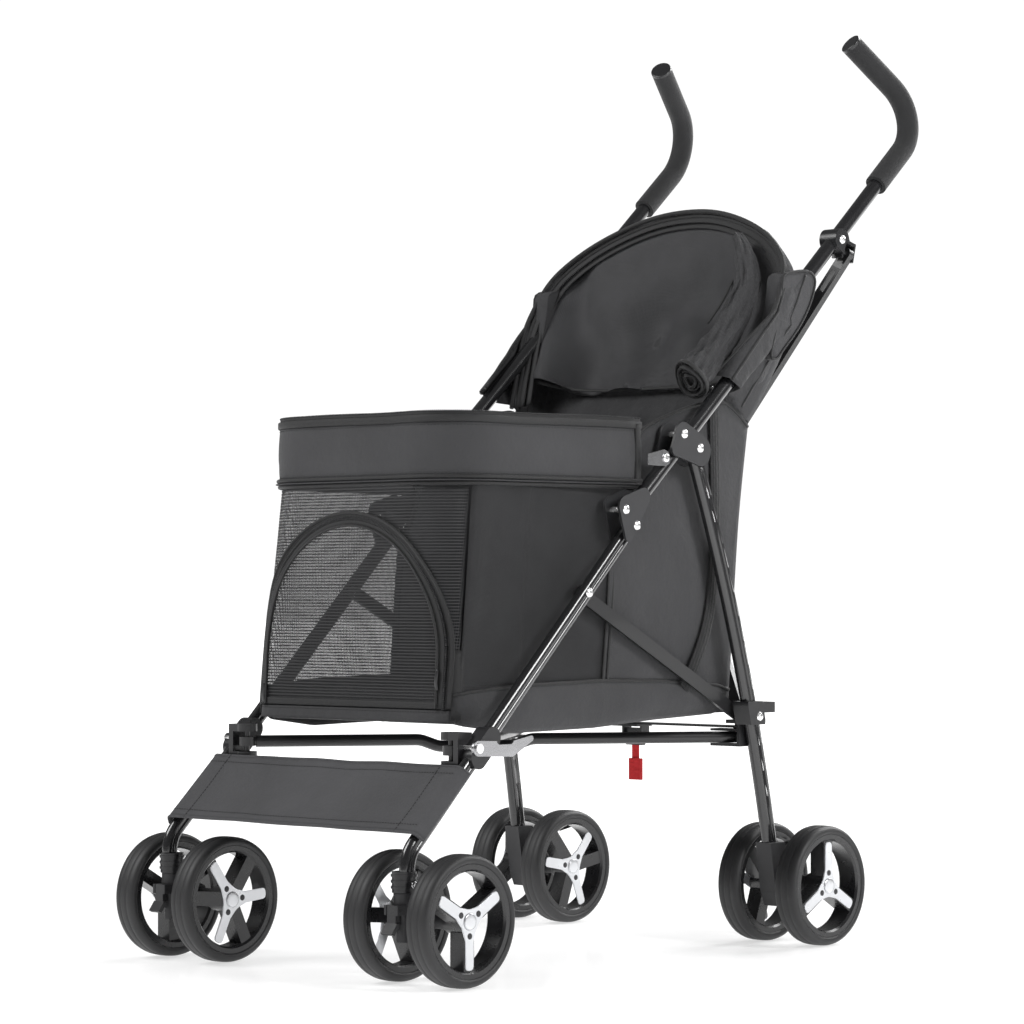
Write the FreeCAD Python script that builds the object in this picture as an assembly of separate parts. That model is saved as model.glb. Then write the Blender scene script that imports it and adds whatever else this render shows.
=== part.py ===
import FreeCAD, Part
import math
import os

# Folding pet stroller with eight wheels in four pairs, a soft cabin between two side frames, and umbrella handles.
# Millimetres, +Z up, the front faces -Y, and the user's left side is +X. Side-view points are (y, z) pairs measured
# from the point on the ground midway between the axles. The finished part is moved so that its origin lies at the
# bottom centre of its bounding box.

V = FreeCAD.Vector

# ---------------------------------------------------------------- driving dimensions
wheel_radius = 67.5
wheel_width = 30.0
rim_radius = wheel_radius - 9.7
rim_opening_radius = wheel_radius - 17.0
hub_radius = 13.0
axle_radius = 4.0
bore_clearance = 0.06  # radial, wheel on its axle and caster on its stem
wheelbase = 572.0
front_pair_x = 177.0
rear_pair_x = 194.0
front_wheel_spacing = 90.0
rear_wheel_spacing = 82.0
caster_trail = 36.0

frame_x = 181.0  # centre plane of a side frame
handle_tube_radius = 8.5
tube_wall = 1.6
leg_width = 12.0
front_leg_depth = 18.0
rear_leg_depth = 20.0
rear_leg_bow = 12.0
handle_angle = 41.56  # degrees above the ground
handle_start = (16.0, 482.6)
handle_run = 730.0  # from the tube's lower end to the middle of the grip's bend
grip_reach = V(-32, -100.23, 84.12)  # from the middle of the grip's bend to its end
grip_bend_radius = 53.0
grip_length_on_handle = 129.0
grip_radius = 13.0

lower_pivot = (19.0, 468.0)  # front leg on the handle tube
upper_pivot = (126.0, 558.0)  # rear leg on the handle tube
stretch = wheelbase / 2 - 286.0  # how much further out than usual each axle is; what hangs on the legs follows
front_leg_foot = (-wheelbase / 2 - caster_trail, 133.5)
rear_leg_foot = (wheelbase / 2 - 40.0, 111.0)
strut_front = (-52.0 - 0.21 * stretch, 398.0)
strut_rear = (219.0 + 0.67 * stretch, 259.0)
plate_thickness = 3.0
rivet_radius = 3.0
rivet_head_radius = 5.2
rivet_head_height = 2.2

fold_travel = 70.0  # each side frame moves this far inwards
seat_tube_z = 235.0
seat_tube_radius = 6.5
seat_tube_rise = 7.5  # each tube steps this far up or down where the pair crosses
seat_front = (156.0, -232.0 - 0.69 * stretch)  # x, y of the pivot on the front leg
seat_rear = (162.0, 213.0 + 0.7 * stretch)  # x, y of the guide on the rear leg
back_top = V(186, 398, 795 - 1.4 * (handle_tube_radius - 8.5))  # bar pivot on the handle tube
back_foot = V(138, 262 + 0.66 * stretch, 268)  # bar guide on the rear leg
back_bar_width = 15.0
back_bar_thickness = 8.0
link_pivot = (158.0, 232.0 + 0.7 * stretch)  # x, y of the rear link's outer pivot
link_layers = (245.0, 247.5)  # undersides of the left and the right strip
link_thickness = 2.2

cabin_floor_z = 262.0
cabin_front_y = -228.0
cabin_half_width = 160.0
wall = 3.0
band_bottom = 517.0
band_top = 579.0
hood_lean = 29.0  # degrees back from vertical
hood_depth = 46.0
soft_gap = 0.6  # soft pieces stay this far from what is beside them

front_axle_y = -wheelbase / 2
rear_axle_y = wheelbase / 2
caster_y = front_axle_y - caster_trail


# ---------------------------------------------------------------- shape helpers
def block(x, y, z):
    """A box from three (low, high) pairs."""
    return Part.makeBox(x[1] - x[0], y[1] - y[0], z[1] - z[0], V(x[0], y[0], z[0]))


def rod(start, end, radius):
    run = end - start
    return Part.makeCylinder(radius, run.Length, start, run)


def side(point, x=frame_x):
    """A side-view point placed on the plane at x."""
    return V(x, point[0], point[1])


def hull_plate(circles, x):
    """A plate around side-view circles (y, z, radius), between two x planes."""
    plate = None
    for first in circles:
        for second in circles:
            run = V(0, second[0] - first[0], second[1] - first[1])
            if run.Length < 1e-6:
                piece = Part.makeCylinder(first[2], x[1] - x[0], side(first, x[0]), V(1, 0, 0))
            else:
                across = V(0, -run.z, run.y).normalize()
                corners = [side(first, x[0]) + across * first[2], side(second, x[0]) + across * second[2],
                           side(second, x[0]) - across * second[2], side(first, x[0]) - across * first[2]]
                face = Part.Face(Part.makePolygon(corners + corners[:1]))
                piece = face.extrude(V(x[1] - x[0], 0, 0))
            plate = piece if plate is None else plate.fuse(piece)
    middle = Part.Face(Part.makePolygon([side(c, x[0]) for c in circles + circles[:1]]))
    if len(circles) > 2:
        plate = plate.fuse(middle.extrude(V(x[1] - x[0], 0, 0)))
    return plate.removeSplitter()


def prism(points, x):
    """A side-view outline extruded between two x planes."""
    corners = [side(p, x[0]) for p in points]
    return Part.Face(Part.makePolygon(corners + corners[:1])).extrude(V(x[1] - x[0], 0, 0))


def bent_path(points, radius):
    """Straight runs joined by tangent arcs of one radius."""
    edges = []
    here = points[0]
    for before, corner, after in zip(points, points[1:], points[2:]):
        back = (before - corner).normalize()
        on = (after - corner).normalize()
        half = back.getAngle(on) / 2
        start = corner + back * (radius / math.tan(half))
        end = corner + on * (radius / math.tan(half))
        middle = corner + (back + on).normalize() * (radius / math.sin(half) - radius)
        edges.append(Part.LineSegment(here, start).toShape())
        edges.append(Part.Arc(start, middle, end).toShape())
        here = end
    edges.append(Part.LineSegment(here, points[-1]).toShape())
    return Part.Wire(edges)


def sweep(path, profile):
    return path.makePipeShell([profile], True, False)


def round_tube(path, outer, inner):
    start = path.Edges[0].valueAt(path.Edges[0].FirstParameter)
    along = path.Edges[0].tangentAt(path.Edges[0].FirstParameter)
    shell = sweep(path, Part.Wire(Part.makeCircle(outer, start, along)))
    return shell.cut(sweep(path, Part.Wire(Part.makeCircle(inner, start, along))))


def oval_profile(start, along, width, depth, groove):
    """A flat-sided oval across a leg, with a shallow groove down each flat side."""
    r = width / 2
    half = depth / 2 - r
    lip = min(2.4, 0.8 * half)  # half height of the groove
    across = V(1, 0, 0)
    deep = along.cross(across).normalize()

    def at(x, d):
        return start + across * x + deep * d

    edges = []
    for s in (1, -1):
        if groove:
            edges.append(Part.LineSegment(at(s * r, -s * half), at(s * r, -s * lip)).toShape())
            edges.append(Part.Arc(at(s * r, -s * lip), at(s * (r - groove), 0), at(s * r, s * lip)).toShape())
            edges.append(Part.LineSegment(at(s * r, s * lip), at(s * r, s * half)).toShape())
        else:
            edges.append(Part.LineSegment(at(s * r, -s * half), at(s * r, s * half)).toShape())
        edges.append(Part.Arc(at(s * r, s * half), at(0, s * (half + r)), at(-s * r, s * half)).toShape())
    return Part.Wire(edges)


def oval_tube(path, width, depth, groove=0.9):
    """The leg's solid outer form and the leg itself, which is hollow."""
    start = path.Edges[0].valueAt(path.Edges[0].FirstParameter)
    along = path.Edges[0].tangentAt(path.Edges[0].FirstParameter)
    outer = sweep(path, oval_profile(start, along, width, depth, groove))
    bore = sweep(path, oval_profile(start, along, width - 2 * tube_wall - 1, depth - 2 * tube_wall, 0))
    return outer, outer.cut(bore)


def turned(points, origin, axis_x):
    """A solid of revolution about an x axis, from (x, radius) points relative to origin."""
    corners = [origin + V(axis_x * x, 0, r) for x, r in points]
    face = Part.Face(Part.makePolygon(corners + corners[:1]))
    return face.revolve(origin, V(1, 0, 0), 360)


def rivet(point, x_in, x_out, ends=(-1, 1)):
    """A shank along x with a domed head at its inner (-1) end, its outer (1) end, or both."""
    dome = [(0, rivet_head_radius), (rivet_head_height * 0.5, rivet_head_radius * 0.85),
            (rivet_head_height * 0.9, rivet_head_radius * 0.45), (rivet_head_height, 0)]
    outline = [(x_in, rivet_radius), (x_out, rivet_radius)]
    outline = [(x_in - d, r) for d, r in reversed(dome)] + outline if -1 in ends else [(x_in, 0)] + outline
    outline = outline + [(x_out + d, r) for d, r in dome] if 1 in ends else outline + [(x_out, 0)]
    return turned(outline, side(point, 0), 1)


def mirrored(shape):
    return shape.mirror(V(0, 0, 0), V(1, 0, 0))


# ---------------------------------------------------------------- side-frame lines
handle_way = V(0, math.cos(math.radians(handle_angle)), math.sin(math.radians(handle_angle)))
handle_low = side(handle_start)
grip_corner = handle_low + handle_way * handle_run
grip_end = grip_corner + grip_reach
front_leg_way = (side(front_leg_foot) - side(lower_pivot)).normalize()
rear_chord = side(rear_leg_foot) - side(upper_pivot)
rear_lean = math.degrees(math.atan((rear_pair_x - frame_x) / -rear_chord.z))

parts = {}
left = {}  # pieces of the left side frame, mirrored later to make the right one


# ---------------------------------------------------------------- handle tube, grip and cap
handle_path = bent_path([handle_low, grip_corner, grip_end], grip_bend_radius)
left["handle_tube"] = round_tube(handle_path, handle_tube_radius, handle_tube_radius - tube_wall)
grip_path = bent_path([grip_corner - handle_way * grip_length_on_handle, grip_corner, grip_end], grip_bend_radius)
left["grip"] = round_tube(grip_path, grip_radius, handle_tube_radius)
grip_way = (grip_end - grip_corner).normalize()
grip_cap = rod(grip_end, grip_end + grip_way * 4, grip_radius)
grip_cap = grip_cap.makeFillet(1.5, [max(grip_cap.Edges, key=lambda e: (e.CenterOfMass - grip_corner).Length)])
grip_cap = grip_cap.fuse(rod(grip_end - grip_way * 10, grip_end, handle_tube_radius - tube_wall - 0.1))

# ---------------------------------------------------------------- legs
handle_clear = rod(handle_low - handle_way * 3, handle_low + handle_way * 200, handle_tube_radius + soft_gap)
front_top = side(lower_pivot) - front_leg_way * 7
front_path = bent_path([front_top, side(front_leg_foot), V(frame_x, front_leg_foot[0], 98)], 34)
front_outer, front_leg = oval_tube(front_path, leg_width, front_leg_depth)
left["front_leg"] = front_leg.cut(handle_clear)

rear_side = V(0, -rear_chord.z, rear_chord.y).normalize()
rear_middle = side(upper_pivot) + rear_chord * 0.5 + rear_side * rear_leg_bow
rear_arc = Part.Arc(side(upper_pivot), rear_middle, side(rear_leg_foot))
rear_edge = rear_arc.toShape()
top_way = rear_edge.tangentAt(rear_edge.FirstParameter)
foot_way = rear_edge.tangentAt(rear_edge.LastParameter)
rear_path = Part.Wire([
    Part.LineSegment(side(upper_pivot) - top_way * 8, side(upper_pivot)).toShape(),
    rear_edge,
    Part.LineSegment(side(rear_leg_foot), side(rear_leg_foot) + foot_way * 26).toShape(),
])
rear_outer, rear_leg = oval_tube(rear_path, leg_width, rear_leg_depth)
for shape in (rear_outer, rear_leg):
    shape.rotate(side(upper_pivot), V(0, 1, 0), -rear_lean)
left["rear_leg"] = rear_leg.cut(handle_clear)

# ---------------------------------------------------------------- folding brackets: one plate each side of the tube
plate_in = handle_tube_radius + 0.5
lower_plate = [(2, 491, 12), (31, 502, 10), (6, 459, 6)]
upper_plate = [(98, 572, 14), (127, 555, 17), (86, 556, 8)]
bracket = None
for circles in (lower_plate, upper_plate):
    for inner in (frame_x + plate_in, frame_x - plate_in - plate_thickness):
        plate = hull_plate(circles, (inner, inner + plate_thickness))
        bracket = plate if bracket is None else bracket.fuse(plate)
left["brackets"] = bracket

# ---------------------------------------------------------------- side strut, a flat bar on the legs' inner side
strut_x = (frame_x - leg_width / 2 - 4.5, frame_x - leg_width / 2 - 0.5)
left["side_strut"] = hull_plate([(*strut_front, 7.5), (*strut_rear, 7.5)], strut_x)

# ---------------------------------------------------------------- plastic fittings of the side frame
rear_inner_x = rear_pair_x - leg_width / 2 - 4.5


def knuckle_arm(low, high):
    """One flat arm of the front clevis, rounded about the seat tube's pin."""
    arm = Part.makeCylinder(11, high - low, V(seat_front[0], seat_front[1], low))
    width = (seat_front[1] - 10, seat_front[1] + 11)
    return arm.fuse(block((seat_front[0], frame_x - leg_width / 2), width, (low, high)))


def leg_at(height):
    """The front leg's middle (y, z) at a height."""
    point = side(lower_pivot) + front_leg_way * ((height - lower_pivot[1]) / front_leg_way.z)
    return point.y, point.z


front_knuckle = knuckle_arm(246, 254).fuse(knuckle_arm(216, 224))
front_knuckle = front_knuckle.fuse(block((seat_front[0] + 12, frame_x - leg_width / 2),
                                         (seat_front[1] - 10, seat_front[1] + 11), (216, 254)))
wrap_radius = front_leg_depth / 2 + 2.6
front_wrap = hull_plate([(*leg_at(228), wrap_radius), (*leg_at(248), wrap_radius)],
                        (frame_x - leg_width / 2 - 3, frame_x + leg_width / 2 + 3))
front_knuckle = front_knuckle.fuse(front_wrap)
front_knuckle = front_knuckle.cut(front_outer)
seat_pin = rod(V(*seat_front, 224), V(*seat_front, 246), 3)
front_knuckle = front_knuckle.fuse(seat_pin)

rear_wrap_x = (rear_inner_x - 4, rear_pair_x + leg_width / 2 + 2)
wrap_radius = rear_leg_depth / 2 + 3
rear_wrap = hull_plate([(seat_rear[1] + 3, 254, wrap_radius), (seat_rear[1] - 2, 274, wrap_radius)], rear_wrap_x)
rear_wrap = rear_wrap.common(block(rear_wrap_x, (seat_rear[1] - 15, seat_rear[1] + 29), (249.9, 276))).cut(rear_outer)
guide_x = (seat_rear[0] - 20, rear_inner_x + 1)
guide_y = (seat_rear[1] - 9, seat_rear[1] + 9)
guide_room = seat_tube_radius + 0.5
rear_knuckle = block(guide_x, guide_y, (seat_tube_z + guide_room, 244.6))
rear_knuckle = rear_knuckle.fuse(block(guide_x, guide_y, (seat_tube_z - guide_room - 3, seat_tube_z - guide_room)))
rear_knuckle = rear_knuckle.fuse(block((rear_inner_x - 3, rear_inner_x + 1), guide_y, (seat_tube_z - guide_room - 3, 276)))
rear_knuckle = rear_knuckle.fuse(rear_wrap)
link_arm = block((link_pivot[0] - 9, rear_inner_x + 1), (link_pivot[1] - 9, link_pivot[1] + 9), (249.9, 254))
link_pin = rod(V(*link_pivot, link_layers[0] - 2), V(*link_pivot, 250), 2.5)
link_pin = link_pin.fuse(rod(V(*link_pivot, link_layers[0] - 2.2), V(*link_pivot, link_layers[0] - 0.2), 4.5))
rear_knuckle = rear_knuckle.fuse(link_arm).fuse(link_pin)

back_way = (V(0, back_top.y, back_top.z) - V(0, back_foot.y, back_foot.z)).normalize()
back_normal = V(1, 0, 0).cross(back_way * -1)
back_turn = math.degrees(math.atan2((back_foot - back_top).y, -(back_foot - back_top).z))


def on_back_plane(shape):
    """Turns a piece built about the origin with its length along z into the back bars' plane."""
    turned_shape = shape.copy()
    turned_shape.rotate(V(0, 0, 0), V(1, 0, 0), back_turn)
    return turned_shape


guide_half = 16.0
guide_depth = back_bar_thickness + 1.2
back_guide = block((-guide_half - 3, guide_half + 3), (-guide_depth - 3, guide_depth + 3), (-5, 5))
back_guide = back_guide.cut(block((-guide_half, guide_half), (-guide_depth, guide_depth), (-6, 6)))
back_guide = on_back_plane(back_guide)
back_guide.translate(back_foot)
guide_arm = block((back_foot.x + guide_half + 2, rear_inner_x + 1), (back_foot.y - 36, back_foot.y + 6), (262, 274))
rear_knuckle = rear_knuckle.fuse(back_guide).fuse(guide_arm).cut(rear_outer)
rear_knuckle = rear_knuckle.cut(left["side_strut"])

clevis_point = side(handle_start) + handle_way * (back_top - handle_low).dot(handle_way)
clevis = hull_plate([(clevis_point.y, clevis_point.z, 13), (back_top.y - 4, back_top.z + 4, 9)],
                    (frame_x - 12, frame_x + 12))
clevis_room = on_back_plane(block((-40, 40), (-back_bar_thickness - 0.8, back_bar_thickness + 0.8), (-40, 9.5)))
clevis_room.translate(back_top)
clevis = clevis.cut(clevis_room)
clevis = clevis.cut(rod(handle_low, grip_corner, handle_tube_radius))
clevis_pin = rod(back_top - back_normal * (back_bar_thickness + 3), back_top + back_normal * (back_bar_thickness + 3), 3)
clevis_cheeks = on_back_plane(block((-9, 6), (back_bar_thickness + 0.8, back_bar_thickness + 3.3), (-9, 14)).fuse(
    block((-9, 6), (-back_bar_thickness - 3.3, -back_bar_thickness - 0.8), (-9, 14))).fuse(
    block((-9, 6), (-back_bar_thickness - 3.3, back_bar_thickness + 3.3), (9.5, 14))))
clevis_cheeks.translate(back_top)
clevis = clevis.fuse(clevis_cheeks.cut(rod(handle_low, grip_corner, handle_tube_radius))).fuse(clevis_pin)

collar = Part.makeCylinder(12.5, 21, V(front_pair_x, caster_y, 96))
for height in (100, 106, 112):
    collar = collar.fuse(Part.makeCylinder(13.6, 2.4, V(front_pair_x, caster_y, height)))
collar = collar.cut(front_outer)
stem_radius = 5.0
collar = collar.cut(Part.makeCylinder(stem_radius + bore_clearance, 12, V(front_pair_x, caster_y, 95)))
left["front_leg"] = left["front_leg"].cut(block((100, 260), (-400, -250), (80, 108)))
left["fittings"] = Part.makeCompound([grip_cap, front_knuckle, rear_knuckle, clevis, collar])

# ---------------------------------------------------------------- rivets of the side frame
plate_out = plate_in + plate_thickness
rivets = [
    ((1, 488), frame_x - plate_out, frame_x + plate_out),
    ((19, 471), frame_x - plate_out, frame_x + plate_out),
    ((99, 573), frame_x - plate_out, frame_x + plate_out),
    ((126, 558), frame_x - plate_out, frame_x + plate_out),
    (strut_front, strut_x[0], frame_x + leg_width / 2),
    ((clevis_point.y, clevis_point.z), frame_x - 12, frame_x + 12),
]
rear_rivet_x = rear_pair_x + leg_width / 2 + 2
rivets.append((strut_rear, strut_x[0] - 0.2, rear_rivet_x))
front_rivet = (seat_front[1] + 2, 238)
rivets.append((front_rivet, frame_x - leg_width / 2 - 2, frame_x + leg_width / 2 + 3, (1,)))
shanks = Part.makeCompound([rod(side(r[0], r[1]), side(r[0], r[2]), rivet_radius) for r in rivets])
for name in ("handle_tube", "front_leg", "rear_leg", "brackets", "side_strut"):
    left[name] = left[name].cut(shanks)
left["fittings"] = left["fittings"].cut(shanks)
left["rivets"] = Part.makeCompound([rivet(*r) for r in rivets])

# ---------------------------------------------------------------- wheels
half = wheel_width / 2
tyre_outline = [(-13.4, rim_radius), (-half, rim_radius + 2.2), (-half, wheel_radius - 5.5), (-12.4, wheel_radius - 1.8),
                (-8.2, wheel_radius), (8.2, wheel_radius), (12.4, wheel_radius - 1.8), (half, wheel_radius - 5.5),
                (half, rim_radius + 2.2), (13.4, rim_radius)]
rim_outline = [(-13.4, rim_radius), (-13.4, rim_opening_radius + 2), (-11, rim_opening_radius),
               (11, rim_opening_radius), (13.4, rim_opening_radius + 2), (13.4, rim_radius)]
hub_outline = [(-half, axle_radius + bore_clearance), (-half, hub_radius - 1), (-half + 1, hub_radius),
               (half - 4, hub_radius), (half - 4, axle_radius + bore_clearance)]
spoke_count = 3


def wheel(centre, outside, turn):
    """Tyre and rim; outside is +1 or -1, the x way that the wheel's outer face looks."""
    tyre = turned(tyre_outline, centre, outside)
    rim = turned(rim_outline, centre, outside).fuse(turned(hub_outline, centre, outside))
    for i in range(spoke_count):
        angle = turn + i * 360 / spoke_count
        x = sorted((centre.x - outside * 8, centre.x + outside * (half - 4)))
        spoke = block(x, (centre.y - 7.5, centre.y + 7.5), (centre.z + hub_radius - 2, centre.z + rim_opening_radius + 1))
        spoke.rotate(centre, V(1, 0, 0), angle)
        rim = rim.fuse(spoke)
    rim = rim.cut(rod(centre - V(20, 0, 0), centre + V(20, 0, 0), axle_radius + bore_clearance))
    return tyre, rim.removeSplitter()


wheel_places = {}
for end, pair_x, spacing, y, turns in (("front", front_pair_x, front_wheel_spacing, front_axle_y, (180, 205)),
                                       ("rear", rear_pair_x, rear_wheel_spacing, rear_axle_y, (0, 40))):
    for place, way, turn in (("outer", 1, turns[0]), ("inner", -1, turns[1])):
        wheel_places[f"{end}_{place}"] = (V(pair_x + way * spacing / 2, y, wheel_radius), way, turn)
for name, (centre, way, turn) in wheel_places.items():
    left[f"{name}_tyre"], left[f"{name}_rim"] = wheel(centre, way, turn)


def axle(pair_x, spacing, y):
    """A pin through both hubs, with a retaining cap outside each hub."""
    reach = spacing / 2 + half - 3
    pin = rod(V(pair_x - reach, y, wheel_radius), V(pair_x + reach, y, wheel_radius), axle_radius)
    for way in (1, -1):
        cap_in = V(pair_x + way * (reach - 0.6), y, wheel_radius)
        pin = pin.fuse(rod(cap_in, cap_in + V(way * 2, 0, 0), 8))
    return pin


# ---------------------------------------------------------------- front caster forks and swivel locks
def caster_fork():
    gap = front_wheel_spacing / 2 - half - 1.0
    fork = Part.makeCylinder(11, 37, V(front_pair_x, caster_y, 58.5))
    fork = fork.fuse(Part.makeCylinder(8, 14, V(front_pair_x, caster_y, 46)))
    fork = fork.fuse(Part.makeCylinder(stem_radius, 14, V(front_pair_x, caster_y, 92)))
    fork = fork.fuse(prism([(caster_y, 86), (caster_y + 8, 92), (front_axle_y + 4, 80), (front_axle_y + 10, 66),
                            (front_axle_y, 56), (caster_y, 58)], (front_pair_x - 8, front_pair_x + 8)))
    fork = fork.fuse(rod(V(front_pair_x - gap, front_axle_y, wheel_radius),
                         V(front_pair_x + gap, front_axle_y, wheel_radius), 10))
    ear_y = caster_y - 15
    for way in (1, -1):
        fork = fork.fuse(block(sorted((front_pair_x + way * 6.5, front_pair_x + way * 9.5)),
                               (ear_y - 4, caster_y), (74, 84)))
    return fork.fuse(axle(front_pair_x, front_wheel_spacing, front_axle_y))


left["caster_fork"] = caster_fork()
lock_pivot = V(front_pair_x, caster_y - 15, 79)
lock = rod(lock_pivot - V(9.5, 0, 0), lock_pivot + V(9.5, 0, 0), 2.0)
left["caster_fork"] = left["caster_fork"].cut(rod(lock_pivot - V(12, 0, 0), lock_pivot + V(12, 0, 0), 2.05))
lever = block((front_pair_x - 6, front_pair_x + 6), (caster_y - 18.5, caster_y - 12.5), (66, 84))
lever = lever.fuse(prism([(caster_y - 18.5, 66), (caster_y - 12.5, 66), (caster_y - 22, 54), (caster_y - 26, 56)],
                         (front_pair_x - 8, front_pair_x + 8)))
left["swivel_lock"] = lock.fuse(lever)

# ---------------------------------------------------------------- rear wheel housings and brake levers
foot = V(rear_pair_x, rear_leg_foot[0], rear_leg_foot[1])
housing = prism([(234, 116), (260, 116), (271, 52), (250, 44), (243, 60)], (rear_pair_x - 11, rear_pair_x + 11))
housing = housing.fuse(prism([(252, 92), (rear_axle_y + 2, 80), (rear_axle_y + 10, 62), (rear_axle_y - 4, 54), (250, 50)],
                             (rear_pair_x - 9, rear_pair_x + 9)))
rear_gap = rear_wheel_spacing / 2 - half - 1.0
housing = housing.fuse(rod(V(rear_pair_x - rear_gap, rear_axle_y, wheel_radius),
                           V(rear_pair_x + rear_gap, rear_axle_y, wheel_radius), 10))
brake_pivot = V(rear_pair_x, 272, 96)
for way in (1, -1):
    housing = housing.fuse(block(sorted((rear_pair_x + way * 9, rear_pair_x + way * 11)), (255, 279), (84, 102)))
housing = housing.cut(rear_outer).cut(rod(brake_pivot - V(15, 0, 0), brake_pivot + V(15, 0, 0), 2.55))
left["rear_housing"] = housing.fuse(axle(rear_pair_x, rear_wheel_spacing, rear_axle_y))
pedal = prism([(266.5, 92), (270, 90), (300, 108), (322, 112), (321, 116), (296, 113), (268, 104), (266, 100)],
              (rear_pair_x - 8.7, rear_pair_x + 8.7))
pedal = pedal.fuse(prism([(300, 108), (322, 112), (321, 116), (298, 113)], (rear_pair_x - 20, rear_pair_x + 20)))
left["brake_lever"] = pedal.fuse(rod(brake_pivot - V(11, 0, 0), brake_pivot + V(11, 0, 0), 2.5))

for name, shape in left.items():
    parts[f"left_{name}"] = shape
    parts[f"right_{name}"] = mirrored(shape)


# ---------------------------------------------------------------- crossed seat tubes under the cabin
def seat_tube(rise):
    """From the left front pivot to the right rear guide, stepping up or down where the pair crosses."""
    start = V(*seat_front, seat_tube_z)
    end = V(-seat_rear[0], seat_rear[1], seat_tube_z)
    way = (end - start).normalize()
    length = (end - start).Length
    up = V(0, 0, rise)
    cross = length * seat_front[0] / (seat_front[0] + seat_rear[0])
    stops = [start + way * 10, start + way * (cross - 75), start + way * (cross - 55) + up,
             start + way * (cross + 30) + up, start + way * (cross + 50), end + way * 14]
    path = bent_path(stops, 28)
    tube = round_tube(path, seat_tube_radius, seat_tube_radius - tube_wall)
    eye = Part.makeCylinder(9, 2 * seat_tube_radius - 3, start - V(0, 0, seat_tube_radius - 1.5))
    eye = eye.cut(Part.makeCylinder(3.06, 40, start - V(0, 0, 20)))
    bridge = rod(start + way * 6, start + way * 24, seat_tube_radius - tube_wall - 0.05)
    bridge = bridge.cut(Part.makeCylinder(3.06, 40, start - V(0, 0, 20)))
    cap = rod(end + way * 14, end + way * 17, seat_tube_radius)
    return tube.cut(eye).fuse(eye.fuse(bridge)).fuse(cap)


parts["seat_tube_left"] = seat_tube(seat_tube_rise)
parts["seat_tube_right"] = mirrored(seat_tube(-seat_tube_rise))


# ---------------------------------------------------------------- crossed bars behind the back
def back_bar(layer):
    """From the left handle tube's clevis down to the right rear leg's guide, on one of two layers."""
    foot_point = V(-back_foot.x, back_foot.y, back_foot.z)
    run = foot_point - back_top
    flat_length = math.hypot(run.x, V(0, run.y, run.z).Length)
    across = math.degrees(math.atan2(run.x, V(0, run.y, run.z).Length))
    low, high = sorted((layer * 0.5, layer * (back_bar_thickness + 0.5)))
    bar = block((-back_bar_width / 2, back_bar_width / 2), (low, high), (-flat_length - 16, 0))
    bar = bar.fuse(Part.makeCylinder(back_bar_width / 2, high - low, V(0, low, 0), V(0, 1, 0)))
    bar = bar.cut(Part.makeCylinder(3.06, 40, V(0, -20, 0), V(0, 1, 0)))
    slot = block((-3.4, 3.4), (-20, 20), (-52, -24))
    bar = bar.cut(slot)
    bar.rotate(V(0, 0, 0), V(0, 1, 0), -across)
    bar = on_back_plane(bar)
    bar.translate(back_top)
    return bar


parts["back_bar_left"] = back_bar(1)
parts["back_bar_right"] = mirrored(back_bar(-1))

# ---------------------------------------------------------------- rear folding link, its lock and pull strap
def link(layer):
    """A flat strip from the left outer pivot to the middle, rounded at both ends."""
    strip = block((0, link_pivot[0]), (link_pivot[1] - 9, link_pivot[1] + 9), (layer, layer + link_thickness))
    for x in (0, link_pivot[0]):
        strip = strip.fuse(Part.makeCylinder(9, link_thickness, V(x, link_pivot[1], layer)))
    return strip.cut(Part.makeCylinder(2.56, 30, V(link_pivot[0], link_pivot[1], layer - 10)))


link_left = link(link_layers[0])
lock_low = link_layers[0] - 2.4
lock_plate = block((-20, 20), (link_pivot[1] - 13, link_pivot[1] + 13), (lock_low, link_layers[0]))
latch_pivot = V(6, link_pivot[1], lock_low - 6)
for way in (-1, 1):
    x = sorted((latch_pivot.x + way * 12.5, latch_pivot.x + way * 15))
    lock_plate = lock_plate.fuse(block(x, (link_pivot[1] - 7, link_pivot[1] + 7), (lock_low - 11, lock_low)))
lock_plate = lock_plate.cut(rod(latch_pivot - V(40, 0, 0), latch_pivot + V(40, 0, 0), 2.56))
parts["rear_link_left"] = link_left.fuse(lock_plate)
parts["rear_link_right"] = mirrored(link(link_layers[1]))
latch = rod(latch_pivot - V(15, 0, 0), latch_pivot + V(15, 0, 0), 2.5)
latch = latch.fuse(block((latch_pivot.x - 12, latch_pivot.x + 12), (link_pivot[1] - 3.5, link_pivot[1] + 3.5),
                         (lock_low - 22, lock_low - 2)))
parts["lock_latch"] = latch
strap = block((latch_pivot.x - 5, latch_pivot.x + 5), (link_pivot[1] - 0.8, link_pivot[1] + 0.8), (205, lock_low - 22))
tag = block((latch_pivot.x - 9, latch_pivot.x + 9), (link_pivot[1] - 2, link_pivot[1] + 2), (180, 205))
parts["pull_strap"] = strap.fuse(tag)

# ---------------------------------------------------------------- storage hook on the left front leg
hook_x = frame_x + leg_width / 2 + 3.2
hook_point = front_rivet
hook = hull_plate([(hook_point[0], hook_point[1], 8), (hook_point[0] + 50, hook_point[1] - 2, 8)], (hook_x, hook_x + 3))
hook = hook.fuse(hull_plate([(hook_point[0] + 50, hook_point[1] - 2, 8), (hook_point[0] + 80, hook_point[1] + 8, 3)],
                            (hook_x, hook_x + 3)))
hook = hook.cut(hull_plate([(hook_point[0] + 32, hook_point[1] + 8, 5), (hook_point[0] + 48, hook_point[1] + 8, 5)],
                           (hook_x - 1, hook_x + 4)))
hook = hook.cut(rod(side(hook_point, hook_x - 1), side(hook_point, hook_x + 5), rivet_radius + 0.06))
parts["storage_hook"] = hook
stud = rod(side(hook_point, hook_x - 0.2), side(hook_point, hook_x + 3.2), rivet_radius)
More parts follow.
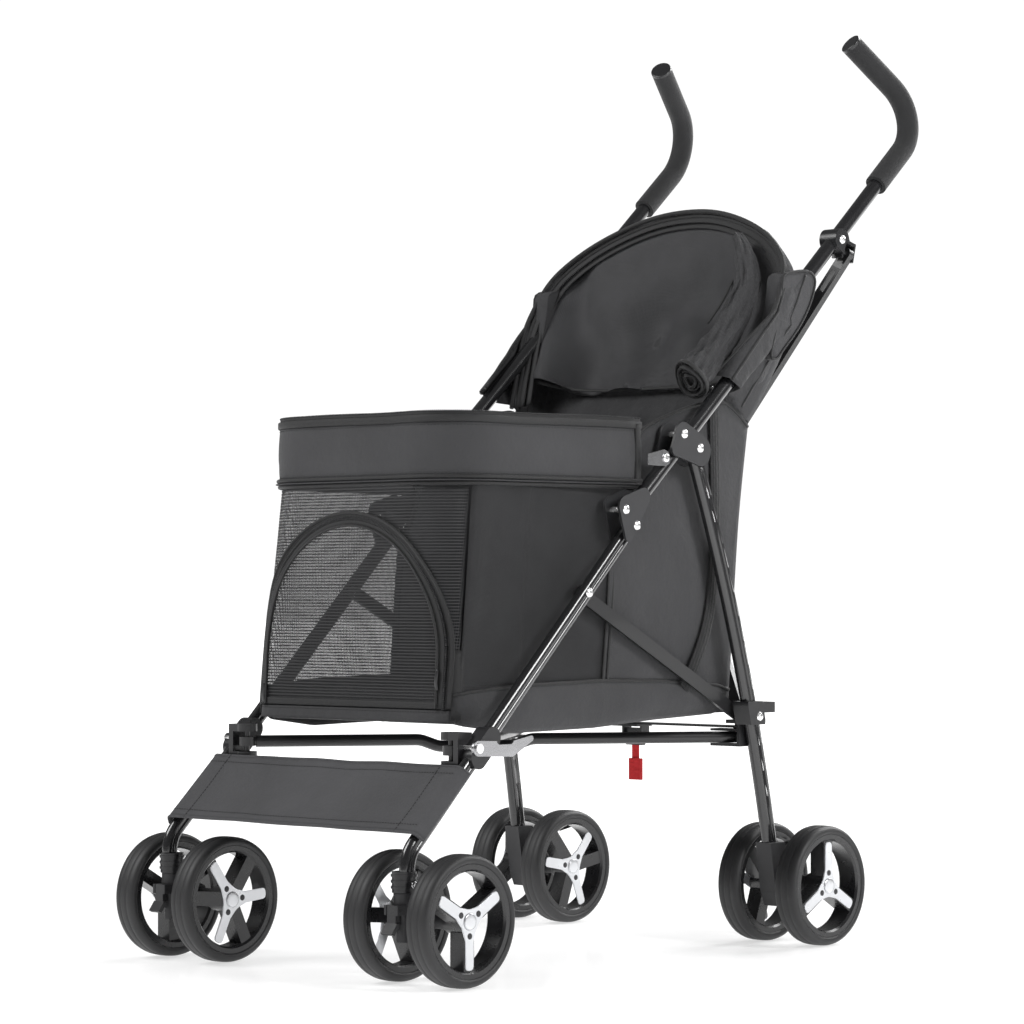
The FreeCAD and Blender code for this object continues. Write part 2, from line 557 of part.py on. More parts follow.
stud = stud.fuse(rod(side(hook_point, hook_x + 3.2), side(hook_point, hook_x + 5.4), rivet_head_radius))
bare = parts["left_rivets"].cut(rod(side(hook_point, hook_x - 0.2), side(hook_point, hook_x + 9), 8))
parts["left_rivets"] = bare.fuse(stud)

# ---------------------------------------------------------------- cabin panels
door_half_width = 140.0
door_straight_top = 330.0
door_top = 482.0
door_gap = 1.0


def arch(grow, y):
    """The front doorway: straight sides and half an ellipse above, grown by a margin, between two y planes."""
    w = door_half_width + grow
    low = cabin_floor_z + 14 - grow
    rise = door_top - door_straight_top + grow
    spring = V(0, y[0], door_straight_top)
    if rise > w:
        ellipse = Part.Ellipse(spring + V(0, 0, rise), spring + V(w, 0, 0), spring)
    else:
        ellipse = Part.Ellipse(spring + V(w, 0, 0), spring + V(0, 0, rise), spring)
    disc = Part.Face(Part.Wire(ellipse.toShape()))
    top = disc.extrude(V(0, y[1] - y[0], 0)).common(block((-w - 1, w + 1), y, (door_straight_top, door_top + grow + 1)))
    return top.fuse(block((-w, w), y, (low, door_straight_top))).removeSplitter()


front_wall_y = (cabin_front_y, cabin_front_y + wall)
front_half = 150.0
front_panel = block((-front_half, front_half), front_wall_y, (cabin_floor_z + 4, band_bottom - soft_gap))
parts["front_panel"] = front_panel.cut(arch(door_gap, (cabin_front_y - 5, cabin_front_y + 10)))
parts["front_door"] = arch(0, front_wall_y)

back_line = [(222, 276), (228, 434), (257, 610)]
wall_outline = [(cabin_front_y + wall + soft_gap, cabin_floor_z + 4), (cabin_front_y + wall + soft_gap, band_bottom - soft_gap),
                (48, band_bottom - soft_gap), (62, band_top), (150, 608), (203, 612), (246, 588), (222, 430),
                (211, 276), (204, cabin_floor_z + 4)]
side_wall = prism(wall_outline, (cabin_half_width - wall, cabin_half_width))
parts["side_panels"] = Part.makeCompound([side_wall, mirrored(side_wall)])
inner_half = cabin_half_width - wall - soft_gap
back_outline = [(205, cabin_floor_z + 18), (208, cabin_floor_z + 18), (214, 290), (224, 430), (254, 598), (250, 600),
                (220, 430), (210, 290)]
parts["back_panel"] = prism(back_outline, (-inner_half, inner_half))
floor_mat = block((-inner_half, inner_half), (cabin_front_y + wall + soft_gap, 203), (cabin_floor_z, cabin_floor_z + 14))
parts["floor_mat"] = floor_mat.makeFillet(4, [e for e in floor_mat.Edges if abs(e.tangentAt(0).z) > 0.9])


# ---------------------------------------------------------------- padded hoop band round the cabin's rim
def hoop(grow, z):
    """A U in plan, open to the rear, grown outwards by a margin."""
    rear = 44.0
    x_rear = 176.0 + grow
    x_front = 150.0 + grow
    y_front = cabin_front_y + 4 - grow
    corner = 70.0
    points = [V(x_rear, rear, z[0]), V(x_front + 6, y_front + corner * 1.3, z[0]), V(x_front, y_front, z[0]),
              V(-x_front, y_front, z[0]), V(-x_front - 6, y_front + corner * 1.3, z[0]), V(-x_rear, rear, z[0])]
    front = bent_path([points[1], points[2], points[3], points[4]], corner + grow)
    edges = [Part.LineSegment(points[0], points[1]).toShape()] + front.Edges
    edges += [Part.LineSegment(points[4], points[5]).toShape(), Part.LineSegment(points[5], points[0]).toShape()]
    return Part.Face(Part.Wire(edges)).extrude(V(0, 0, z[1] - z[0]))


band = hoop(0, (band_bottom, band_top)).cut(hoop(-5, (band_bottom - 1, band_top + 1)))
band = band.cut(block((-171, 171), (30, 60), (band_bottom - 1, band_top + 1)))
band_leg_clear = front_outer.copy()
parts["front_band"] = band.cut(block((frame_x - 12, frame_x + 30), (36, 60), (band_bottom - 1, band_top + 1))).cut(
    block((-frame_x - 30, -frame_x + 12), (36, 60), (band_bottom - 1, band_top + 1)))

# ---------------------------------------------------------------- hood: a shallow dome leaning back, open to the front
hood_base = V(0, 205, 618)
hood_up = V(0, math.sin(math.radians(hood_lean)), math.cos(math.radians(hood_lean)))
hood_back = V(0, hood_up.z, -hood_up.y)
hood_outline = [(163, 0), (192, 110), (176, 186), (100, 242), (0, 266)]


def hood_face(inset):
    """The arch-shaped outline in the hood's leaning plane, set in by a margin."""
    points = [(x - inset * x / 192, s - inset * s / 266) for x, s in hood_outline]
    both = points + [(-x, s) for x, s in reversed(points[:-1])]
    curve = Part.BSplineCurve()
    curve.interpolate([hood_base + V(x, 0, 0) + hood_up * s for x, s in both])
    ends = [hood_base + V(both[-1][0], 0, 0), hood_base + V(both[0][0], 0, 0)]
    return Part.Face(Part.Wire([curve.toShape(), Part.LineSegment(*ends).toShape()]))


hood = hood_face(0).extrude(hood_back * hood_depth)
hood_room = hood_face(wall + 1)
hood_room.translate(hood_back * -5 - hood_up * 12)
hood_room = hood_room.extrude(hood_back * (hood_depth + 5 - wall))
hood_low = hood_face(wall + 1).extrude(hood_back * (hood_depth - wall))
tube_room = rod(handle_low, grip_corner, handle_tube_radius + soft_gap)
parts["hood"] = hood.cut(hood_room).cut(hood_low).cut(tube_room).cut(mirrored(tube_room))

bow_inset = 24.5  # keeps the wire bow inside the handle tubes
bow_curve = Part.BSplineCurve()
bow_points = [(x - bow_inset * x / 192, s - bow_inset * s / 266) for x, s in hood_outline]
bow_points[0] = (bow_points[0][0], 4)
bow_points = bow_points + [(-x, s) for x, s in reversed(bow_points[:-1])]
bow_curve.interpolate([hood_base + V(x, 0, 0) + hood_up * s + hood_back * 6 for x, s in bow_points])
bow_wire = Part.Wire(bow_curve.toShape())
bow_start = bow_wire.Edges[0].valueAt(bow_wire.Edges[0].FirstParameter)
bow_way = bow_wire.Edges[0].tangentAt(bow_wire.Edges[0].FirstParameter)
parts["hood_bow"] = sweep(bow_wire, Part.Wire(Part.makeCircle(3, bow_start, bow_way)))

# ---------------------------------------------------------------- leg-rest panel stretched between the front legs
leg_normal = V(0, front_leg_way.z, -front_leg_way.y)
if leg_normal.z < 0:
    leg_normal = leg_normal * -1
rest_near = side(lower_pivot, 0) + front_leg_way * 368
rest_far = side(lower_pivot, 0) + front_leg_way * (458 - 1.3 * (wheel_radius - 67.5))
rest_low = front_leg_depth / 2 + soft_gap
rest_edges = [rest_near + leg_normal * rest_low, rest_far + leg_normal * rest_low,
              rest_far + leg_normal * (rest_low + 3), rest_near + leg_normal * (rest_low + 3)]
parts["leg_rest"] = prism([(p.y, p.z) for p in rest_edges], (-193, 193))

# ---------------------------------------------------------------- origin at the bottom centre of the whole, and export
front_edge = front_axle_y - wheel_radius
rear_edge = parts["left_grip"].BoundBox.YMax
to_origin = V(0, -(front_edge + rear_edge) / 2, 0)

if __name__ == "__main__":
    os.makedirs("parts", exist_ok=True)
    for name, shape in parts.items():
        placed = shape.copy()
        placed.translate(to_origin)
        placed.exportStep(f"parts/{name}.step")
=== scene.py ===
import math

import bmesh
import bpy
from mathutils import Matrix, Vector, noise


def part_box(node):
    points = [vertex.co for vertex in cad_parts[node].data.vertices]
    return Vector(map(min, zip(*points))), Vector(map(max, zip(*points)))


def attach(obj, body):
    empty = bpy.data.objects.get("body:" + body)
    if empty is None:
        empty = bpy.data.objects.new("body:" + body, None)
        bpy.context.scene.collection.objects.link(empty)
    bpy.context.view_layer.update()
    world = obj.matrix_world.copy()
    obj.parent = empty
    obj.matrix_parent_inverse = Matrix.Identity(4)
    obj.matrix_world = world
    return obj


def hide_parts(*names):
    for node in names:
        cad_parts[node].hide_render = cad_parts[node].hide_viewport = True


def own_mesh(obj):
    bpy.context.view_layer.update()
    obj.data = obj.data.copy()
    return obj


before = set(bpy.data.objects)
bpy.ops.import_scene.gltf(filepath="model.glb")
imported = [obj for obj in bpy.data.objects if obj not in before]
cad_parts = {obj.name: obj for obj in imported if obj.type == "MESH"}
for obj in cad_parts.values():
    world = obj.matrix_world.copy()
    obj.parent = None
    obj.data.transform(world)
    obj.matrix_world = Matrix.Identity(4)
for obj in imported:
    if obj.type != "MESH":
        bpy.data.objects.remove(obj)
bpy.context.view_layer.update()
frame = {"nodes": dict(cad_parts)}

bl_info = {
    "name": "Pet Stroller Looks",
    "version": (1, 0, 0),
    "blender": (4, 5, 0),
    "location": "View3D > Sidebar > Pet Stroller",
    "description": "Cloth, trims, finishes and a studio around the folding pet stroller's frame",
    "category": "Object",
}

MM = 0.001
FRONT_AXLE = sum(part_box("left_front_outer_tyre"), Vector()) / 2
REAR_AXLE = sum(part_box("left_rear_outer_tyre"), Vector()) / 2
MIDWAY_Y = (FRONT_AXLE.y + REAR_AXLE.y) / 2
SIDES = (("left", 1), ("right", -1))
FRAME_X = 181
FINISHES = {}


def at(x, y, z):
    """A point in metres from millimetres measured from the ground midway between the axles."""
    return Vector((x * MM, y * MM + MIDWAY_Y, z * MM))


def smooth_step(t):
    t = min(max(t, 0.0), 1.0)
    return t * t * (3 - 2 * t)


def between(a, b, t):
    return a + (b - a) * t


def table_value(rows, x):
    """Straight-line value from (x, value) rows."""
    for (x0, v0), (x1, v1) in zip(rows, rows[1:]):
        if x <= x1:
            return v0 + (v1 - v0) * max(0.0, (x - x0) / (x1 - x0))
    return rows[-1][1]


def flowing(points, count, closed=False):
    """Points along a smooth curve through the given ones."""
    n = len(points)
    spans = n if closed else n - 1
    out = []
    for i in range(spans * count + (0 if closed else 1)):
        k, t = min(i // count, spans - 1), (i - min(i // count, spans - 1) * count) / count
        if closed:
            a, b, c, d = (points[(k + j) % n] for j in (-1, 0, 1, 2))
        else:
            b, c = points[k], points[k + 1]
            a = points[k - 1] if k else b * 2 - c
            d = points[k + 2] if k + 2 < n else c * 2 - b
        out.append(b + ((c - a) * t + (a * 2 - b * 5 + c * 4 - d) * t * t
                        + (b * 3 - a - c * 3 + d) * t**3) * 0.5)
    return out


def rounded(points, radius, steps=8):
    """A run of straight lines whose corners are rounded off."""
    out = [points[0]]
    for before, corner, after in zip(points, points[1:], points[2:]):
        back, on = (before - corner).normalized(), (after - corner).normalized()
        half = back.angle(on) / 2
        reach = radius / math.tan(half)
        centre = corner + (back + on).normalized() * (radius / math.sin(half))
        start, end = corner + back * reach - centre, corner + on * reach - centre
        turn = start.rotation_difference(end)
        for i in range(steps + 1):
            part = Matrix.Rotation(turn.angle * i / steps, 3, turn.axis)
            out.append(centre + part @ start)
    out.append(points[-1])
    return out


# ------------------------------------------------------------------ finishes
class Finish:
    """A node-built material; its constant values sit on the shader's own sockets."""

    def __init__(self, name, colour, roughness, metallic=0.0, coat=0.0, sheen=0.0):
        self.material = bpy.data.materials.new(name)
        self.material.use_nodes = True
        self.tree = self.material.node_tree
        self.shader = self.tree.nodes["Principled BSDF"]
        self.shader.inputs["Base Color"].default_value = (*colour, 1)
        self.shader.inputs["Roughness"].default_value = roughness
        self.shader.inputs["Metallic"].default_value = metallic
        self.shader.inputs["Coat Weight"].default_value = coat
        self.shader.inputs["Sheen Weight"].default_value = sheen
        self.shader.inputs["Sheen Roughness"].default_value = 0.4
        self.colour = colour
        self.bump = None
        self.material.diffuse_color = (*colour, 1)
        FINISHES[name] = self.material

    def node(self, kind, inputs=(), **settings):
        made = self.tree.nodes.new(kind)
        for key, value in settings.items():
            setattr(made, key, value)
        for key, value in dict(inputs).items():
            if isinstance(value, bpy.types.NodeSocket):
                self.tree.links.new(value, made.inputs[key])
            else:
                made.inputs[key].default_value = value
        return made

    def place(self, source="Object"):
        """Object coordinates in metres, or the piece's own cloth map in metres."""
        if source == "Object":
            return self.node("ShaderNodeTexCoord").outputs["Object"]
        return self.node("ShaderNodeUVMap", uv_map=source).outputs["UV"]

    def noise(self, scale, detail=3.0, source="Object"):
        found = self.node("ShaderNodeTexNoise",
                          {"Vector": self.place(source), "Scale": scale, "Detail": detail})
        return found.outputs["Fac"]

    def sum(self, kind, *values):
        return self.node("ShaderNodeMath", dict(enumerate(values)), operation=kind).outputs[0]

    def spread(self, value, low, high):
        return self.node("ShaderNodeMapRange",
                         {"Value": value, "To Min": low, "To Max": high}).outputs["Result"]

    def raise_surface(self, height, distance, strength=1.0):
        """Adds one more layer of relief."""
        inputs = {"Height": height, "Distance": distance, "Strength": strength}
        if self.bump:
            inputs["Normal"] = self.bump
        self.bump = self.node("ShaderNodeBump", inputs).outputs["Normal"]
        self.tree.links.new(self.bump, self.shader.inputs["Normal"])

    def tint(self, value, darker, lighter):
        """Colour drifts between darker and lighter shares of the finish's own colour."""
        low, high = (tuple(min(1, c * share) for c in self.colour) + (1,) for share in (darker, lighter))
        mixed = self.node("ShaderNodeMix", {"Factor": value}, data_type="RGBA")
        mixed.inputs[6].default_value, mixed.inputs[7].default_value = low, high
        self.tree.links.new(mixed.outputs[2], self.shader.inputs["Base Color"])

    def rough(self, value, low, high):
        self.tree.links.new(self.spread(value, low, high), self.shader.inputs["Roughness"])

    def bands(self, axis, pitch, source="Cloth"):
        """A smooth wave across one axis of the cloth map, from 0 to 1, one wave per pitch."""
        split = self.node("ShaderNodeSeparateXYZ", {"Vector": self.place(source)})
        turns = self.sum("MULTIPLY", split.outputs[axis], 2 * math.pi / pitch)
        return self.spread(self.sum("SINE", turns), 0.0, 1.0)


def hard_finish(name, colour, roughness, grain, relief, **shader):
    """Painted, moulded, plated or foamed surface with fine grain and uneven gloss."""
    made = Finish(name, colour, roughness, **shader)
    drift = made.noise(14, 4)
    made.tint(drift, 0.8, 1.2)
    made.rough(made.noise(60, 5), max(0.04, roughness - 0.07), min(1, roughness + 0.07))
    made.raise_surface(made.noise(grain, 3), relief)
    return made


def cloth_finish(name, colour, pitch=0.0009, relief=0.00012, crease=0.0012, sheen=0.06, roughness=0.82):
    """Plain-woven cloth: over-and-under threads, soft creases and a slight drift in its colour."""
    made = Finish(name, colour, roughness, sheen=sheen)
    weave = made.sum("MULTIPLY", made.bands("X", pitch), made.bands("Y", pitch))
    threads = made.noise(1800, 2, "Cloth")
    made.tint(made.sum("MULTIPLY", made.noise(9, 5), made.spread(threads, 0.7, 1.3)), 0.62, 1.5)
    made.rough(threads, roughness - 0.1, min(1.0, roughness + 0.1))
    made.raise_surface(made.noise(16, 4), crease * 4)
    made.raise_surface(made.noise(260, 2), relief * 3)
    made.raise_surface(weave, relief)
    return made


def net_finish(name, colour, pitch, share, rows=1.0):
    """Knitted net: threads both ways with clear holes between; rows is the cross pitch over the pitch."""
    made = Finish(name, colour, 0.7)
    split = made.node("ShaderNodeSeparateXYZ", {"Vector": made.place("Cloth")})
    threads = []
    for axis, cover, step in (("X", share * 0.75, pitch), ("Y", share, pitch * rows)):
        along = made.sum("FRACT", made.sum("MULTIPLY", split.outputs[axis], 1 / step))
        threads.append(made.sum("LESS_THAN", along, cover))
    solid = made.sum("MAXIMUM", *threads)
    made.tree.links.new(solid, made.shader.inputs["Alpha"])
    made.tint(made.noise(40, 3), 0.8, 1.25)
    made.raise_surface(solid, 0.0002)
    return made


def make_finishes(colours):
    black, cloth, steel = tuple(colours.frame), tuple(colours.cloth), tuple(colours.steel)
    dark = tuple(c * 0.3 for c in cloth)
    hard_finish("gloss_black_paint", black, 0.22, 420, 0.00004, coat=0.6)
    hard_finish("satin_black_paint", black, 0.38, 420, 0.00005, coat=0.2)
    hard_finish("grained_black_plastic", tuple(c * 1.9 for c in black), 0.5, 1600, 0.00008)
    hard_finish("smooth_black_plastic", tuple(c * 1.3 for c in black), 0.3, 700, 0.00004)
    hard_finish("grip_foam", tuple(c * 0.9 for c in black), 0.85, 900, 0.0005, sheen=0.15)
    hard_finish("bright_rivet_steel", (0.9, 0.9, 0.9), 0.2, 500, 0.00003, metallic=0.85)
    hard_finish("zinc_steel", steel, 0.24, 500, 0.00004, metallic=1.0)
    hard_finish("silver_wheel_trim", (0.72, 0.73, 0.75), 0.3, 900, 0.00004, metallic=0.7)
    hard_finish("tyre_rubber", (0.016, 0.016, 0.017), 0.55, 700, 0.00008)
    hard_finish("rim_plastic", (0.012, 0.012, 0.013), 0.28, 800, 0.00004, coat=0.2)
    cloth_finish("cabin_cloth", cloth)
    cloth_finish("band_cloth", tuple(c * 1.1 for c in cloth), crease=0.0009)
    cloth_finish("leg_rest_cloth", tuple(c * 1.8 for c in cloth), crease=0.0012)
    cloth_finish("hood_cloth", tuple(c * 0.9 for c in cloth), crease=0.003)
    cloth_finish("mat_cloth", tuple(c * 0.8 for c in cloth), crease=0.002)
    cloth_finish("binding_tape", dark, pitch=0.0012, crease=0.0003, sheen=0.1, roughness=0.7)
    cloth_finish("stitch_thread", tuple(c * 0.4 for c in cloth), pitch=0.0005, crease=0.0, sheen=0.1)
    cloth_finish("red_tag_cloth", tuple(colours.tag), pitch=0.0014, relief=0.0003, crease=0.0006)
    belt = cloth_finish("belt_webbing", dark, pitch=0.0022, relief=0.0004, crease=0.0003)
    belt.raise_surface(belt.bands("Y", 0.0045), 0.0003)
    net_finish("cabin_net", tuple(c * 0.7 for c in cloth), colours.net_pitch, 0.4, 2.2)
    net_finish("side_net", tuple(c * 1.0 for c in cloth), colours.net_pitch * 0.4, 0.36, 1.5)
    net_finish("lining_net", tuple(c * 1.4 for c in cloth), colours.net_pitch * 1.1, 0.6)
    ribbed = cloth_finish("gathered_net", tuple(c * 0.9 for c in cloth), pitch=0.0016, relief=0.0006,
                          crease=0.003)
    ribbed.raise_surface(ribbed.noise(160, 4), 0.0012)


# ------------------------------------------------------------------ mesh helpers
def placed(name, mesh):
    """A new object at the origin that carries the mesh."""
    piece = bpy.data.objects.new(name, mesh)
    bpy.context.collection.objects.link(piece)
    return piece


def final_mesh(piece):
    """The piece's mesh with its modifiers applied; the piece itself is removed."""
    view = bpy.context.evaluated_depsgraph_get()
    mesh = bpy.data.meshes.new_from_object(piece.evaluated_get(view))
    bpy.data.objects.remove(piece, do_unlink=True)
    return mesh


def face_outwards(mesh, merge=False):
    """Turns every face outwards, after merging points that coincide where that is asked for."""
    work = bmesh.new()
    work.from_mesh(mesh)
    if merge:
        bmesh.ops.remove_doubles(work, verts=work.verts, dist=1e-6)
    bmesh.ops.recalc_face_normals(work, faces=work.faces)
    work.to_mesh(mesh)
    work.free()


def always(x, y, z):
    """A facing that is the same at every point of a run."""
    direction = Vector((x, y, z))
    return lambda p: direction


def finished(name, verts, faces, finish, maps=None, smooth=True, normals=False):
    """A mesh object at the origin with one finish, a cloth map in metres and faces that point outwards."""
    mesh = bpy.data.meshes.new(name)
    mesh.from_pydata([tuple(v) for v in verts], [], faces)
    mesh.materials.append(FINISHES[finish])
    if maps is not None:
        layer = mesh.uv_layers.new(name="Cloth")
        for loop in mesh.loops:
            layer.data[loop.index].uv = maps[loop.vertex_index]
    if normals:
        face_outwards(mesh, merge=True)
    for face in mesh.polygons:
        face.use_smooth = smooth
    mesh.update()
    return placed(name, mesh)


def cloth_panel(name, rows, finish, thickness=1.0, plan=None, close=False):
    """A panel woven through rows of points; its map follows the cloth, or a plan of the panel's own."""
    verts = [p for row in rows for p in row]
    width = len(rows[0])
    last = width if close else width - 1
    faces = [(i * width + j, i * width + (j + 1) % width, (i + 1) * width + (j + 1) % width,
              (i + 1) * width + j)
             for i in range(len(rows) - 1) for j in range(last)]
    if plan:
        maps = [plan(p) for p in verts]
    else:
        across = [[0.0] * width]
        for i in range(1, len(rows)):
            across.append([across[-1][j] + (rows[i][j] - rows[i - 1][j]).length for j in range(width)])
        maps = []
        middle = rows[len(rows) // 2]
        along = [0.0]
        for a, b in zip(middle, middle[1:]):
            along.append(along[-1] + (b - a).length)
        for i, row in enumerate(rows):
            maps += [(along[j], across[i][j]) for j in range(width)]
    piece = finished(name, verts, faces, finish, maps)
    thick = piece.modifiers.new("thickness", "SOLIDIFY")
    thick.thickness, thick.offset = thickness * MM, 0.0
    return piece


def swept(name, runs, profile, finish, closed=False, facing=None):
    """Carries a profile of (a, b) pairs in millimetres along runs of points.

    facing gives b's direction at a point; without it, b is carried along from the run's start.
    """
    verts, faces, maps = [], [], []
    for run in runs:
        n, m, base = len(run), len(profile), len(verts)
        side = None
        length = 0.0
        for i, p in enumerate(run):
            before = run[i - 1] if i or closed else p
            after = run[(i + 1) % n] if i < n - 1 or closed else p
            along = (after - before).normalized()
            if facing:
                up = facing(p)
            elif side is None:
                up = Vector((0, 0, 1)) if abs(along.z) < 0.9 else Vector((1, 0, 0))
            else:
                up = along.cross(side) * -1
            side = along.cross(up).normalized()
            up = side.cross(along).normalized()
            length += (p - run[i - 1]).length if i else 0.0
            verts += [p + (side * a + up * b) * MM for a, b in profile]
            edge = 0.0
            for k in range(m):
                edge += math.dist(profile[k], profile[k - 1]) * MM if k else 0.0
                maps.append((length, edge))
        steps = n if closed else n - 1
        for i in range(steps):
            for k in range(m):
                a, b = base + i * m + k, base + i * m + (k + 1) % m
                c, d = base + (i + 1) % n * m + (k + 1) % m, base + (i + 1) % n * m + k
                faces.append((a, b, c, d))
        if not closed:
            faces += [tuple(base + k for k in range(m))[::-1],
                      tuple(base + (n - 1) * m + k for k in range(m))]
    piece = finished(name, verts, faces, finish, maps)
    face_outwards(piece.data)
    return piece


def round_profile(radius, sides=8, flat=1.0):
    return [(radius * math.cos(2 * math.pi * k / sides), radius * flat * math.sin(2 * math.pi * k / sides))
            for k in range(sides)]


def strap_profile(width, thickness):
    w, t, e = width / 2, thickness / 2, thickness * 0.35
    return [(-w, -t + e), (-w + e, -t), (w - e, -t), (w, -t + e), (w, t - e), (w - e, t), (-w + e, t),
            (-w, t - e)]


def plate(name, outline, finish, thickness=(0, 1), bevel=0.4, segments=2):
    """An outline of points, raised between two offsets along its own x, with softened edges."""
    work = bmesh.new()
    verts = [work.verts.new(p) for p in outline]
    face = work.faces.new(verts)
    for v in work.verts:
        v.co.x += thickness[0] * MM
    grown = bmesh.ops.extrude_face_region(work, geom=[face])
    for v in grown["geom"]:
        if isinstance(v, bmesh.types.BMVert):
            v.co.x += (thickness[1] - thickness[0]) * MM
    bmesh.ops.recalc_face_normals(work, faces=work.faces)
    edges = [e for e in work.edges if abs(e.verts[0].co.x - e.verts[1].co.x) < 1e-7]
    if bevel:
        bmesh.ops.bevel(work, geom=edges, offset=bevel * MM, segments=segments, affect="EDGES")
    mesh = bpy.data.meshes.new(name)
    work.to_mesh(mesh)
    work.free()
    mesh.materials.append(FINISHES[finish])
    return placed(name, mesh)


def button(name, spot, outside, radius, height, finish, sides=20):
    """A low domed disc that looks along x."""
    line = [(0.0, radius), (height * 0.6, radius * 0.96), (height, radius * 0.8), (height, radius * 0.35)]
    verts, faces = [], []
    for x, r in line:
        for i in range(sides):
            a = 2 * math.pi * i / sides
            verts.append(spot + Vector((outside * x, r * math.cos(a), r * math.sin(a))) * MM)
    for k in range(len(line) - 1):
        for i in range(sides):
            j = (i + 1) % sides
            faces.append((k * sides + i, k * sides + j, (k + 1) * sides + j, (k + 1) * sides + i))
    faces.append(tuple(range((len(line) - 1) * sides, len(line) * sides)))
    faces.append(tuple(range(sides))[::-1])
    return finished(name, verts, faces, finish, normals=True)


def joined(name, pieces):
    """Several meshes made one, each keeping its own finish."""
    finishes, verts, faces, slots, maps, smooth = [], [], [], [], [], []
    for piece in pieces:
        mesh = final_mesh(piece)
        layer = mesh.uv_layers.get("Cloth")
        base = len(verts)
        verts += [v.co.copy() for v in mesh.vertices]
        for face in mesh.polygons:
            faces.append([base + i for i in face.vertices])
            finish = mesh.materials[face.material_index]
            if finish not in finishes:
                finishes.append(finish)
            slots.append(finishes.index(finish))
            smooth.append(face.use_smooth)
            maps.append([tuple(layer.data[i].uv) if layer else (0.0, 0.0) for i in face.loop_indices])
    mesh = bpy.data.meshes.new(name)
    mesh.from_pydata(verts, [], faces)
    layer = mesh.uv_layers.new(name="Cloth")
    for finish in finishes:
        mesh.materials.append(finish)
    for face, slot_index, is_smooth, corners in zip(mesh.polygons, slots, smooth, maps):
        face.material_index = slot_index
        face.use_smooth = is_smooth
        for loop_index, corner in zip(face.loop_indices, corners):
            layer.data[loop_index].uv = corner
    mesh.update()
    return placed(name, mesh)


def repeat_tree():
    """Geometry nodes that set small pieces along every run of a line at one pitch."""
    tree = bpy.data.node_groups.get("pieces_along_a_line")
    if tree:
        return tree
    tree = bpy.data.node_groups.new("pieces_along_a_line", "GeometryNodeTree")
    face = tree.interface
    face.new_socket("Line", in_out="INPUT", socket_type="NodeSocketGeometry")
    for name, default in (("Pitch", 0.005), ("Length", 0.003), ("Width", 0.0008), ("Height", 0.0008)):
        face.new_socket(name, in_out="INPUT", socket_type="NodeSocketFloat").default_value = default
    face.new_socket("Finish", in_out="INPUT", socket_type="NodeSocketMaterial")
    face.new_socket("Pieces", in_out="OUTPUT", socket_type="NodeSocketGeometry")
    node, link = tree.nodes.new, tree.links.new
    inlet, outlet = node("NodeGroupInput"), node("NodeGroupOutput")
    curve = node("GeometryNodeMeshToCurve")
    points = node("GeometryNodeCurveToPoints")
    points.mode = "LENGTH"
    bead = node("GeometryNodeMeshUVSphere")
    bead.inputs["Segments"].default_value, bead.inputs["Rings"].default_value = 6, 4
    bead.inputs["Radius"].default_value = 0.5
    size = node("ShaderNodeCombineXYZ")
    place = node("GeometryNodeInstanceOnPoints")
    real = node("GeometryNodeRealizeInstances")
    paint = node("GeometryNodeSetMaterial")
    link(inlet.outputs["Line"], curve.inputs[0])
    link(curve.outputs[0], points.inputs["Curve"])
    link(inlet.outputs["Pitch"], points.inputs["Length"])
    link(inlet.outputs["Width"], size.inputs["X"])
    link(inlet.outputs["Height"], size.inputs["Y"])
    link(inlet.outputs["Length"], size.inputs["Z"])
    link(points.outputs["Points"], place.inputs["Points"])
    link(points.outputs["Rotation"], place.inputs["Rotation"])
    link(bead.outputs["Mesh"], place.inputs["Instance"])
    link(size.outputs["Vector"], place.inputs["Scale"])
    link(place.outputs[0], real.inputs[0])
    link(real.outputs[0], paint.inputs["Geometry"])
    link(inlet.outputs["Finish"], paint.inputs["Material"])
    link(paint.outputs[0], outlet.inputs["Pieces"])
    return tree


def along_lines(name, runs, finish, pitch, length, width, height):
    """Stitches, zip teeth or beads along runs of points, as one plain mesh."""
    verts, edges = [], []
    for run in runs:
        base = len(verts)
        verts += [tuple(p) for p in run]
        edges += [(base + i, base + i + 1) for i in range(len(run) - 1)]
    mesh = bpy.data.meshes.new(name + "_line")
    mesh.from_pydata(verts, edges, [])
    holder = placed(name + "_line", mesh)
    tree = repeat_tree()
    modifier = holder.modifiers.new("pieces", "NODES")
    modifier.node_group = tree
    values = {"Pitch": pitch * MM, "Length": length * MM, "Width": width * MM, "Height": height * MM,
              "Finish": FINISHES[finish]}
    for item in tree.interface.items_tree:
        if item.item_type == "SOCKET" and item.name in values:
            modifier[item.identifier] = values[item.name]
    plain = final_mesh(holder)
    plain.name = name
    for face in plain.polygons:
        face.use_smooth = True
    return placed(name, plain)


def wrinkled(piece, amount, size, seed):
    """Moves the cloth in and out along its own normals in soft folds."""
    mesh = piece.data
    normals = [v.normal.copy() for v in mesh.vertices]
    for v, normal in zip(mesh.vertices, normals):
        v.co += normal * (noise.noise(v.co / (size * MM) + Vector((seed, 0, 0))) * amount * MM)
    mesh.update()


def on_cloth(piece, body="seat"):
    """A soft piece of the cabin or hood: it rides on the seat, with a mesh of its own."""
    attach(piece, body)
    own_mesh(piece)


def on_frame(piece, side):
    """A piece held by one side frame, which it follows as the frame folds."""
    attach(piece, f"{side}_frame")


def declare_sheet(flat):
    """Turns a sheet's flat size into metres; nothing further is done with it."""
    flat = (flat[0] * MM, flat[1] * MM)


# ------------------------------------------------------------------ shapes of the cabin
CABIN_FRONT_Y = -226
CABIN_FRONT_HALF = 151
NET_TOP = 516
FLOOR_Z = 263
BAND_BOTTOM, BAND_TOP = 517, 579
BAND_MIDDLE_Y = -60


def corner_radius(z):
    return table_value([(FLOOR_Z, 20), (340, 34), (NET_TOP, 74)], z)


